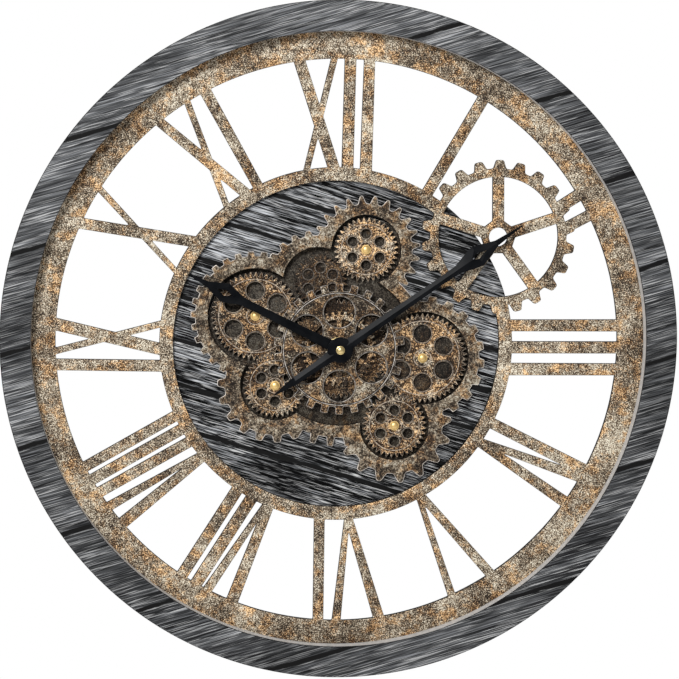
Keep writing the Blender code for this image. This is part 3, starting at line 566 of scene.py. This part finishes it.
def worn(name, low, high, warmth=0.12, scale=0.7, roughness=0.55, metallic=0.2, shine=0.3):
    """A narrow edge whose paint changes between a dark and a light tone."""
    look = Look(name, Metallic=metallic, Roughness=roughness, Specular_IOR_Level=shine)
    spots = look.noise(look.stretched(look.place, scale), 1.0, 5.0, 0.75)
    share = look.between(spots, 0.38, 0.62)
    colour = look.mix(share, grey(low, warmth), grey(high, warmth))
    return look.finish(colour, look.between(spots, 0.3, 0.7, 0.8, roughness), spots, 0.2, 0.1)


def moulded(name, colour, roughness, metallic, grain, strength, streak=(1.0, 1.0, 1.0), shine=0.5):
    """Plastic, metal or lacquer with a fine surface texture and slight changes of tone."""
    look = Look(name, Metallic=metallic, Specular_IOR_Level=shine)
    texture = look.noise(look.stretched(look.place, tuple(grain * s for s in streak)), 1.0, 4.0, 0.6)
    cloud = look.noise(look.stretched(look.place, 0.05), 1.0, 3.0)
    lighter = tuple(min(1.0, channel * 1.25 + 0.004) for channel in colour)
    darker = tuple(channel * 0.82 for channel in colour)
    shade = look.mix(look.between(cloud, 0.35, 0.65), darker, lighter)
    shade = look.mix(look.between(texture, 0.4, 0.7, 0.0, 0.25), shade, lighter)
    rough = look.between(texture, 0.3, 0.7, roughness * 0.85, min(1.0, roughness * 1.15))
    return look.finish(shade, rough, texture, strength, 0.06)


RIM_WOOD = planks("charcoal_planks", 16.0, 83.6, (0.010, 0.042, 0.105), 0.60, 4.2, 0.0, 0.8, 0.024)
# The disc's 0.06 darkens its lower right, partly as painted shade
DISC_WOOD = planks("brushed_planks", -17.0, 37.0, (0.002, 0.024, 0.22), 1.0, 33.9, 0.06, 1.15, 0.045)
RIM_EDGE = worn("rim_dark_edge", 0.006, 0.03, 0.0, shine=0.05)
CORE = worn("pale_rim_core", 0.42, 0.62, 0.03, 0.25, 0.7, 0.0)
BRONZE = bronze("sponged_bronze", 1.0, 0.5, 1.4, dark=0.01)
BRONZE_EDGE = worn("black_cut_edge", 0.003, 0.012, 0.1, 0.4, 0.9, 0.0, 0.02)
BRONZE_RIM = worn("dark_worn_bevel", 0.008, 0.10, 0.2, 0.5, 0.7, 0.0, 0.1)
PLATE_BRONZE = bronze("aged_plate_bronze", 0.60, 0.45, 1.3, (40.0, 0.0, 12.0), 0.75, 0.01)
PLATE_RIM = worn("pale_plate_bevel", 0.20, 0.75, 0.10, 0.22)
# Painted shade: the movement plate's bronze print is darkened far below the dial's, to stand for the shade
# deep behind the gears and in their holes
SHADE_DARKENED_BRONZE = bronze("shade_darkened_bronze", 0.16, 0.3, 1.0, (7.0, 0.0, 91.0))
SHADED_BRONZE = bronze("shaded_gear_bronze", 0.50, 0.9, 1.5, (17.0, 0.0, 51.0), 0.3, 0.10)
DARK_BRONZE = bronze("pinion_bronze", 0.16, 0.6, 1.2, (27.0, 0.0, 31.0), 0.3, 0.05)
GOLD = bronze("gold_gear_bronze", 0.84, 0.85, 1.7, (11.0, 3.0, 5.0), 0.25, 0.05)
BRIGHT_GOLD = bronze("bright_gear_bronze", 0.98, 0.85, 1.6, (61.0, 3.0, 25.0), 0.1, 0.02)
GOLD_RIM = worn("gold_gear_bevel", 0.06, 0.50, 0.22, 0.4)
CENTRE_BRONZE = bronze("centre_gear_bronze", 0.68, 0.55, 1.6, (31.0, 8.0, 55.0), 0.45, 0.05)
CENTRE_LINE = worn("centre_gear_line", 0.10, 0.60, 0.10, 0.2)
HOLE_LINE = worn("gear_hole_line", 0.02, 0.16, 0.15, 0.4)
BRASS = moulded("brass", (0.72, 0.56, 0.26), 0.32, 1.0, 1.5, 0.12)
PIN_BRASS = moulded("dulled_brass", (0.72, 0.50, 0.20), 0.42, 0.8, 1.2, 0.3)
LACQUER = moulded("black_lacquer", (0.0025, 0.003, 0.004), 0.28, 0.0, 3.0, 0.05, shine=0.03)
PLASTIC = moulded("black_plastic", (0.022, 0.022, 0.024), 0.55, 0.0, 2.6, 0.35)
NYLON = moulded("white_nylon", (0.78, 0.77, 0.73), 0.5, 0.0, 1.4, 0.15)
STEEL = moulded("zinc_steel", (0.58, 0.59, 0.60), 0.32, 1.0, 1.2, 0.15, (0.2, 1.0, 2.0))
JACKET = moulded("battery_jacket", (0.03, 0.10, 0.16), 0.3, 0.3, 0.6, 0.05)


# ---------------------------------------------------------------- rim and dial


def build_rim():
    """The plank-printed face with its skirt, and the pale core whose grooved edge shows inside it."""
    outer = half_width("rim_face")
    back, front = depths("rim_face")
    core_back, core_front = depths("rim_core")
    opening = OPENING_RADIUS
    rounding = (0, 3)
    shell_in = outer - RIM_SHELL
    face_back = front - RIM_SHELL
    profile = [(opening, front - 0.35), (opening + 0.35, front), (outer - 1.6, front)]
    profile += [(outer - 0.6, front - 0.35), (outer, front - 1.3), (outer, back), (shell_in, back)]
    profile += [(shell_in, face_back), (opening, face_back)]
    Piece().turned(profile, RIM_AT, 288, True, lambda row: EDGE if row in rounding else FACE).finish(
        "rim_boards", "case", ["rim_face"], "charcoal_wood", [RIM_WOOD, RIM_EDGE]
    )
    rebate = depths("numeral_frame")[1] + 0.3
    wall = [(shell_in - 0.3, core_front), (shell_in - 0.3, core_back), (REBATE_RADIUS, core_back)]
    wall += [(REBATE_RADIUS, rebate), (opening, rebate)]
    groove = (rebate + core_front) / 2
    wall += [(opening, groove - 0.35), (opening + 0.5, groove), (opening, groove + 0.35)]
    wall.append((opening, core_front))
    Piece().turned(wall, RIM_AT, 288, True).finish("rim_wall", "case", ["rim_core"], "light_core", [CORE])


def numeral_stroke(inner_from, inner_to, outer_from, outer_to):
    """A straight stroke, run on at both ends into the two rings that it joins."""
    inner = [Vector(polar(STROKE_INNER, bearing, INNER_RING_AT)) for bearing in (inner_from, inner_to)]
    outer = [Vector(polar(STROKE_OUTER, bearing, OUTER_RING_AT)) for bearing in (outer_from, outer_to)]
    length = STROKE_OUTER - STROKE_INNER
    run_in = (STROKE_INNER - FOOT_RADIUS) / length
    run_out = (OUTER_RING_INSIDE + 8.0 - STROKE_OUTER) / length
    starts = [a - (b - a) * run_in for a, b in zip(inner, outer)]
    ends = [b + (b - a) * run_out for a, b in zip(inner, outer)]
    return [tuple(starts[0]), tuple(ends[0]), tuple(ends[1]), tuple(starts[1])]


def build_numeral_frame():
    """One sheet: two rings, the numerals between them and the open gear that overlaps two of them."""
    tip, root, ring, spoke = 68.5, 61.0, 53.4, 10.3
    teeth = rounded(toothed(22, tip, root, 1.2, 0.34, 0.66, OPEN_GEAR_AT), 2.4, 4)
    spokes = [polar(ring + 3, 72 * index, OPEN_GEAR_AT) for index in range(5)]
    hub = [polar(radius, 36 * index, OPEN_GEAR_AT) for index, radius in enumerate([18.0, 14.5] * 5)]
    groups = {
        "frame": [circle(half_width("numeral_frame"), OUTER_RING_AT, 240)],
        "opening": [circle(OUTER_RING_INSIDE, OUTER_RING_AT, 240)],
        "ring_outside": [circle(half_width("backboard"), INNER_RING_AT, 180)],
        "ring_inside": [circle(INNER_RING_INSIDE, INNER_RING_AT, 180)],
        "stroke": [numeral_stroke(*edges) for numeral in NUMERALS.values() for edges in numeral],
        "gear": [teeth],
        "gear_ring": [circle(ring, OPEN_GEAR_AT, 120)],
        "spoke": [bar(OPEN_GEAR_AT, end, spoke) for end in spokes],
        "hub": [hub],
        "bore": [circle(8.3, OPEN_GEAR_AT, 48)],
    }

    def is_solid(inside):
        if "gear" in inside:
            arms = "gear_ring" not in inside or "spoke" in inside or "hub" in inside
            return arms and "bore" not in inside
        outer_ring = "frame" in inside and "opening" not in inside
        return "ring_inside" not in inside and (outer_ring or "ring_outside" in inside or "stroke" in inside)

    loops = [rounded(loop, 0.9) for loop in region(groups, is_solid)]
    Piece().plate(loops, depths("numeral_frame"), 0.3).finish(
        "numeral_dial", "case", ["numeral_frame"], "bronze_print", [BRONZE, BRONZE_EDGE, BRONZE_RIM]
    )


def window_outlines(wider=0.0):
    """The gear plate's windows, joined where they run into each other."""
    windows = [circle(radius + wider, place, 96) for place, radius in PLATE_WINDOWS]
    return region({"window": windows}, lambda inside: bool(inside))


def build_gear_plate():
    """The toothed plate. The bevel round its windows is dark and the bevel round its teeth is pale."""
    discs = []
    for place, tip, root, teeth, first, crest, foot, soft in PLATE_DISCS:
        discs.append(rounded(toothed(teeth, tip, root, first, crest, foot, place), soft, 3))
    place, tip, root, teeth, first = PLATE_RING
    lower_teeth = []
    for index in (-1, 0, 1, 2):
        here = first + index * 360 / teeth
        sides = [(root - 2, -2.9), (tip, -1.7), (tip, 1.7), (root - 2, 2.9)]
        lower_teeth.append(rounded([polar(radius, here + turn, place) for radius, turn in sides], 1.6))
    groups = {"metal": discs + lower_teeth + [circle(root, place, 120)], "window": window_outlines()}
    loops = region(groups, lambda inside: "metal" in inside and "window" not in inside)
    loops = [rounded(loop, 0.7, 2, 40) for loop in loops]
    piece = Piece().plate(loops, depths("gear_plate"), 0.5)
    for facet in piece.sheet.faces:
        spot = facet.calc_center_median().to_2d()
        near = any((spot - Vector(place)).length < radius + 1.2 for place, radius in PLATE_WINDOWS)
        if facet.material_index == WORN and near:
            facet.material_index = EDGE
    piece.finish(
        "toothed_plate", "case", ["gear_plate"], "aged_bronze_print", [PLATE_BRONZE, BRONZE_EDGE, PLATE_RIM]
    )


def build_backboard():
    """The off-centre board with the gear plate's windows cut through, and the plate behind it."""
    loops = region(
        {
            "board": [circle(half_width("backboard"), INNER_RING_AT, 180)],
            "opening": window_outlines(wider=1.5),
        },
        lambda inside: "board" in inside and "opening" not in inside,
    )
    Piece().plate(loops, depths("backboard"), 0.25).finish(
        "dial_board", "case", ["backboard"], "charcoal_wood", [DISC_WOOD, RIM_EDGE, RIM_EDGE]
    )
    holes = [circle(PIN_BORE, middle(f"{name}_pin"), 32) for name in PINS]
    holes.append(circle(5.0, sides=48))
    back, front = depths("module_base")
    plate = {"plate": [circle(half_width("module_base"), sides=144)], "hole": holes}
    loops = region(plate, lambda inside: inside == {"plate"})
    # The plate behind takes the darkened bronze, painted shade for the holes and gaps behind the gears
    Piece().plate(loops, (back, front), 0.3).finish(
        "movement_plate", "case", ["module_base"], "aged_bronze_print", [SHADE_DARKENED_BRONZE, BRONZE_EDGE, PLATE_RIM]
    )


# ---------------------------------------------------------------- turning gears


def beads(piece, radius, width, height, top, centre, steps, look):
    """A raised line round a circle, standing on a face."""
    half = width / 2
    profile = [(radius - half, top - 0.2), (radius - half * 0.6, top + height)]
    profile += [(radius + half * 0.6, top + height), (radius + half, top - 0.2)]
    piece.turned(profile, centre, steps, False, look)


def build_wheel(place, outline, centre, looks, holes, lines):
    """A satellite wheel with rimmed holes and raised ring lines."""
    node = f"{place}_gear"
    back, front = depths(node)
    face = front - 0.3
    openings = [circle(PIN_BORE, centre, 48)] + [circle(radius, spot, 48) for spot, radius in holes]
    loops = region({"wheel": [outline], "opening": openings}, lambda inside: inside == {"wheel"})
    piece = Piece().plate([rounded(loop, 0.35, 2, 30) for loop in loops], (back, face), 0.25)
    for spot, radius in holes:
        beads(piece, radius + 0.75, 0.8, 0.25, face, spot, 48, LINE)
    for radius, width in lines:
        beads(piece, radius, width, 0.25, face, centre, 120, WORN)
    finishes = looks + [HOLE_LINE]
    piece.finish(f"{place}_wheel", f"{place}_satellite", [node], "gold_bronze_gear", finishes)


def ring_of_holes(centre, count, at_radius, radius):
    return [(polar(at_radius, 360 * index / count, centre), radius) for index in range(count)]


def build_satellites():
    """The wheels round the centre gear, each with its first tooth where it meshes with its driver."""
    looks = [GOLD, BRONZE_EDGE, GOLD_RIM]
    bright = [BRIGHT_GOLD, BRONZE_EDGE, GOLD_RIM]
    shaded = [SHADED_BRONZE, BRONZE_EDGE, BRONZE_RIM]
    left = meshed(0, SUN_TEETH, -68.4, LEFT_TEETH)
    lower_left = meshed(left, LEFT_TEETH, 164.2, SMALL_TEETH)
    lower_right = meshed(0, RIGHT_TEETH, 202.6, SMALL_TEETH)
    upper_right = meshed(0, UPPER_LEFT_TEETH, 55.1, SMALL_TEETH)
    large_lines = [(7.6, 0.9)]
    small_holes = (6, 14.0, 4.5)
    small_lines = [(22.2, 0.9), (6.6, 0.8)]
    # name, teeth, first tooth, holes (count, distance, radius), ring lines, materials
    wheels = [
        ("left", LEFT_TEETH, left, (6, 22.5, 8.0), [(32.6, 1.0)] + large_lines, looks),
        ("lower_left", SMALL_TEETH, lower_left, small_holes, small_lines, looks),
        ("right", RIGHT_TEETH, 0, (6, 21.8, 8.0), [(33.0, 1.0)] + large_lines, looks),
        ("lower_right", SMALL_TEETH, lower_right, small_holes, small_lines, looks),
        ("upper_left", UPPER_LEFT_TEETH, 0, (6, 12.5, 4.2), [(18.6, 0.8), (5.6, 0.8)], shaded),
        ("upper_right", SMALL_TEETH, upper_right, small_holes, small_lines, bright),
    ]
    for place, teeth, first, hole_ring, lines, finishes in wheels:
        centre = middle(f"{place}_pin")
        holes = ring_of_holes(centre, *hole_ring)
        build_wheel(place, gear(teeth, first, centre), centre, finishes, holes, lines)


def build_centre():
    """The six-hole gear, the spoked wheel seen through its holes and the sun wheel under both."""
    bore = circle(CENTRE_BORE, sides=48)
    back, front = depths("centre_gear")
    plate_front = back + 2.1
    teeth = rounded(toothed(26, 58.2, 51.6, 0, 0.46, 0.54), 0.8, 2)
    holes = ring_of_holes((0, 0), 6, 33.0, 13.9)
    openings = [circle(CENTRE_BORE, sides=64)] + [circle(radius, place, 72) for place, radius in holes]
    loops = region({"wheel": [teeth], "opening": openings}, lambda inside: inside == {"wheel"})
    piece = Piece().plate(loops, (back, plate_front), 0.3)
    rise = front - plate_front
    beads(piece, CENTRE_LINE_RADIUS, 1.9, rise - 0.3, plate_front, (0, 0), 180, EDGE)
    beads(piece, CENTRE_LINE_RADIUS, 0.9, rise, plate_front, (0, 0), 180, LINE)
    for place, radius in holes:
        beads(piece, radius + 0.8, 0.8, 0.3, plate_front, place, 72, HOLE_RIM)
    piece.finish(
        "six_hole_gear",
        "centre_gears",
        ["centre_gear"],
        "aged_bronze_gear",
        [CENTRE_BRONZE, BRONZE_EDGE, CENTRE_LINE, CENTRE_LINE, HOLE_LINE],
    )
    groups = {
        "wheel": [rounded(toothed(36, 33.6, 30.4, 0, 0.4, 0.6), 0.4, 2)],
        "inside": [circle(26.0, sides=96)],
        "spoke": [bar((0, 0), polar(28.0, 60 * index), 5.0) for index in range(6)],
        "hub": [circle(12.5, sides=48)],
        "bore": [bore],
    }

    def is_solid(inside):
        arms = "inside" not in inside or "spoke" in inside or "hub" in inside
        return "wheel" in inside and "bore" not in inside and arms

    loops = [rounded(loop, 0.8) for loop in region(groups, is_solid)]
    Piece().plate(loops, depths("second_wheel"), 0.3).finish(
        "spoked_wheel",
        "centre_gears",
        ["second_wheel"],
        "aged_bronze_gear",
        [GOLD, BRONZE_EDGE, BRONZE_RIM],
    )
    loops = region({"wheel": [gear(SUN_TEETH)], "bore": [bore]}, lambda inside: inside == {"wheel"})
    Piece().plate(loops, depths("sun_gear"), 0.25).finish(
        "sun_wheel", "centre_gears", ["sun_gear"], "aged_bronze_gear", [SHADED_BRONZE, BRONZE_EDGE, GOLD_RIM]
    )


def build_pins():
    """Brass pins with domed heads. The upper-left one is as dark as its wheel."""
    for name in PINS:
        node = f"{name}_pin"
        back, front = depths(node)
        head = half_width(node)
        seat = front - 2.2
        profile = [(0, front)]
        for index in range(1, 7):
            angle = math.radians(15 * index)
            profile.append((head * 0.82 * math.sin(angle), seat + 0.5 + 1.7 * math.cos(angle)))
        profile += [(head, seat + 0.45), (head, seat), (2.0, seat), (2.0, back), (0, back)]
        look = SHADED_BRONZE if name == "upper_left" else PIN_BRASS
        Piece().turned(profile, middle(node), 40).finish(f"{name}_dome", "case", [node], "brass", [look])


# ---------------------------------------------------------------- hands


def blade(piece, stations, bearing, back, low, top):
    """A ridged blade with a pierced lozenge. Stations are (distance, half opening, half width)."""
    sheet = piece.sheet
    for side in (1, -1):
        rows = []
        for along, opening, width in stations:
            ridge = (opening + width) / 2 if opening else 0.0
            points = [(opening, low if opening else top), (ridge, top), (width, low), (width, back)]
            points.append((opening, back))
            row = []
            for out, depth in points:
                x, y = turned_by([(side * out, along)], bearing)[0]
                row.append(sheet.verts.new((x, y, depth)))
            rows.append(row)
        for (near, far), (first, second) in zip(zip(rows, rows[1:]), zip(stations, stations[1:])):
            pierced = first[1] or second[1]
            for start, end in ((0, 1), (1, 2), (2, 3), (3, 4), (4, 0)):
                if (start, end) == (4, 0) and not pierced:
                    continue
                sheet.faces.new((near[start], near[end], far[end], far[start]))
        for row in (rows[0], rows[-1]):
            sheet.faces.new(row)


def build_hand(name, node, body, stations, bearing, boss):
    """A blade with a round boss that falls away from its middle."""
    back, front = depths(node)
    piece = Piece()
    blade(piece, stations, bearing, back, back + 0.9, front - 0.05)
    profile = [(0, front - 0.02), (boss * 0.55, front - 0.05), (boss * 0.9, front - 0.35)]
    profile += [(boss, front - 0.9), (boss, back), (0, back)]
    piece.turned(profile, steps=72)
    piece.finish(name, body, [node], "black_hands", [LACQUER], sharp=12)


def build_hands():
    """Both hands, each with its tail at negative distances, and the domed nut that holds them."""
    minute = [(-71.0, 0, 0.6), (-48.0, 0, 3.6), (-20.0, 0, 4.2), (-8.0, 0, 5.6), (10.0, 0, 5.2)]
    minute += [(22.0, 0, 4.3), (104.0, 0, 3.3), (126.0, 0, 3.9), (140.5, 0, 8.2), (147.5, 2.8, 9.8)]
    minute += [(157.0, 0, 6.6), (168.0, 0, 2.6), (196.9, 0, 0.35)]
    build_hand("minute_lance", "minute_hand", "minute_work", minute, MINUTE_BEARING, MINUTE_BOSS)
    hour = [(-10.0, 0, 4.0), (10.0, 0, 4.6), (82.0, 0, 3.4), (98.0, 0, 3.9), (106.5, 0, 6.9)]
    hour += [(113.5, 2.8, 8.8), (121.5, 0, 6.2), (131.0, 0, 2.6), (150.9, 0, 0.35)]
    build_hand("hour_lance", "hour_hand", "hour_work", hour, HOUR_BEARING, HOUR_BOSS)
    back, front = depths("cap_nut")
    cap = [(0, front), (1.2, front - 0.08), (2.2, front - 0.4), (2.9, front - 0.95), (3.3, front - 1.5)]
    cap += [(3.8, front - 1.7), (3.8, back + 0.3), (3.5, back), (0, back)]
    Piece().turned(cap, steps=48).finish("cap_dome", "minute_work", ["cap_nut"], "brass", [BRASS])


# ---------------------------------------------------------------- back of the clock


def build_doors():
    """Battery doors with grip ribs, and the knurled setting knob, at the back."""
    doors = (("time_battery_cover", "time_battery_hatch", 7), ("gear_battery_cover", "gear_battery_hatch", 9))
    for node, body, ribs in doors:
        low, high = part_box(node)
        back, front = depths(node)
        centre = middle(node)
        size = ((high.x - low.x) / MM, (high.z - low.z) / MM)
        piece = Piece().box((*size, front - back - 0.5), (*centre, (front + back + 0.5) / 2), 0.5)
        for index in range(ribs):
            x = centre[0] + size[0] / 2 - 6.0 - 1.8 * index
            piece.box((0.9, size[1] * 0.55, 0.7), (x, centre[1], back + 0.4), 0.25)
        piece.finish(f"{node}_door", body, [node], "black_plastic", [PLASTIC])
    back, front = depths("set_knob")
    centre = middle("set_knob")
    outline = toothed(28, 5.5, 5.0, 0, 0.4, 0.7, centre)
    grip_front = 2.8
    stem_back = grip_front - 0.2
    piece = Piece().plate([outline], (back, grip_front), 0.25, FACE, FACE, FACE)
    piece.turned([(0, front), (1.2, front), (1.2, stem_back), (0, stem_back)], centre, 24)
    piece.finish("knurled_knob", "setting_work", ["set_knob"], "black_plastic", [PLASTIC])


def build_screws():
    """Cross-slotted screw heads, seen from behind on the housing flange."""
    reach = 2.0
    for index in range(1, BACK_SCREWS + 1):
        node = f"housing_screw_{index}"
        back, front = depths(node)
        centre = middle(node)
        x, y = centre
        slots = [bar((x - reach, y), (x + reach, y), 0.8), bar((x, y - reach), (x, y + reach), 0.8)]
        outlines = {"head": [circle(3.3, centre, 48)], "slot": slots}
        loops = region(outlines, lambda inside: inside == {"head"})
        piece = Piece().plate(loops, (back, back + 0.9), 0.2, FACE, FACE, FACE)
        head = [(0, back + 0.85), (3.4, back + 0.85), (3.5, back + 2.0), (0, back + 2.0)]
        shank = [(0, front), (1.0, front - 0.8), (1.6, front - 2), (1.6, back + 1.9), (0, back + 1.9)]
        piece.turned(head, centre, 48)
        piece.turned(shank, centre, 24)
        piece.finish(f"{node}_cross", "case", [node], "steel", [STEEL])


def dress_cad_nodes():
    """Softens the edges of the CAD nodes that stay, and gives each its material."""
    finishes = {
        "light_core": CORE,
        "charcoal_wood": RIM_WOOD,
        "bronze_print": BRONZE,
        "aged_bronze_print": SHADE_DARKENED_BRONZE,
        "aged_bronze_gear": GOLD,
        "gold_bronze_gear": GOLD,
        "brass": BRASS,
        "black_hands": LACQUER,
        "black_plastic": PLASTIC,
        "white_nylon": NYLON,
        "steel": STEEL,
        "battery_jacket": JACKET,
    }
    hidden_gears = ("right_pinion", "upper_left_pinion", "motor_pinion")
    slots = {part["node"]: part["material_slot"] for part in frame["record"]["subparts"]}
    for name, node in frame["nodes"].items():
        node.data.materials.clear()
        node.data.materials.append(DARK_BRONZE if name in hidden_gears else finishes[slots[name]])
        if node.hide_render:
            continue
        weld = node.modifiers.new("weld", "WELD")
        weld.merge_threshold = 0.00001
        soften = node.modifiers.new("soften", "BEVEL")
        soften.width = (0.5 if name == "housing_tub" else 0.2) * MM
        soften.segments = 2
        soften.limit_method = "ANGLE"
        soften.angle_limit = math.radians(35)
        soften.use_clamp_overlap = True


# ---------------------------------------------------------------- light and camera


def area_light(name, place, target, size, power):
    """A round white lamp that faces the target."""
    lamp = bpy.data.lights.new(name, "AREA")
    lamp.shape = "DISK"
    lamp.size = size
    lamp.energy = power
    made = bpy.data.objects.new(name, lamp)
    made.location = place
    made.rotation_euler = (Vector(target) - Vector(place)).to_track_quat("-Z", "Y").to_euler()
    bpy.context.scene.collection.objects.link(made)


def build_studio():
    """White all round, dimmer in front of the dial, with a key light, a fill behind and a pale floor."""
    scene = bpy.context.scene
    scene.view_settings.view_transform = "Standard"
    world = bpy.data.worlds.new("white_studio")
    world.use_nodes = True
    tree = world.node_tree
    axes = tree.nodes.new("ShaderNodeSeparateXYZ")
    tree.links.new(tree.nodes.new("ShaderNodeTexCoord").outputs["Generated"], axes.inputs[0])
    fall = tree.nodes.new("ShaderNodeMapRange")
    tree.links.new(axes.outputs[1], fall.inputs[0])
    for index, value in enumerate((-0.3, 0.3, FRONT_LIGHT, 1.0), 1):
        fall.inputs[index].default_value = value
    tree.links.new(fall.outputs[0], tree.nodes["Background"].inputs["Strength"])
    tree.nodes["Background"].inputs["Color"].default_value = (1.0, 1.0, 1.0, 1.0)
    scene.world = world
    middle_of_rim = Vector((RIM_AT[0] * MM, 0.0, RIM_AT[1] * MM))
    area_light("key", KEY_AT, middle_of_rim, KEY_SIZE, KEY_POWER)
    area_light("back_fill", BACK_FILL_AT, middle_of_rim, BACK_FILL_SIZE, BACK_FILL_POWER)
    floor_mesh = bpy.data.meshes.new("studio_floor")
    corners = [(x, y, FLOOR_LEVEL) for x, y in circle(FLOOR_RADIUS, sides=180)]
    floor_mesh.from_pydata(corners, [], [tuple(range(len(corners)))])
    floor_mesh.materials.append(worn("pale_floor", 0.86, 0.9, 0.0, 0.02, 0.9, 0.0))
    floor = bpy.data.objects.new("studio_floor", floor_mesh)
    scene.collection.objects.link(floor)


def build_camera():
    """The camera stands a little to the left and above, and turns back only part of the way. A lens shift
    does the rest, which keeps the rim as round as the dial seen square on."""
    scene = bpy.context.scene
    data = bpy.data.cameras.new("camera")
    data.lens = 36.0 * CAMERA_DISTANCE / PICTURE_WIDTH
    data.clip_end = 50
    camera = bpy.data.objects.new("camera", data)
    x, y = RIM_AT[0] + AIM_OFFSET[0], RIM_AT[1] + AIM_OFFSET[1]
    target = Vector((x, -depths("rim_face")[1], y)) * MM
    side, rise = math.radians(CAMERA_SIDE), math.radians(CAMERA_RISE)
    away = Vector((math.sin(side) * math.cos(rise), -math.cos(side) * math.cos(rise), math.sin(rise)))
    camera.location = target + away * CAMERA_DISTANCE
    turn = math.radians(CAMERA_TURN)
    facing = Vector((math.sin(turn) * math.cos(turn), math.cos(turn) ** 2, -math.sin(turn)))
    camera.rotation_euler = facing.to_track_quat("-Z", "Y").to_euler()
    scene.collection.objects.link(camera)
    scene.camera = camera
    bpy.context.view_layer.update()
    seen = camera.matrix_world.inverted() @ target
    data.shift_x = -seen.x / seen.z * data.lens / data.sensor_width
    data.shift_y = -seen.y / seen.z * data.lens / data.sensor_width


build_rim()
build_numeral_frame()
build_gear_plate()
build_backboard()
build_satellites()
build_centre()
build_pins()
build_hands()
build_doors()
build_screws()
dress_cad_nodes()
build_studio()
build_camera()
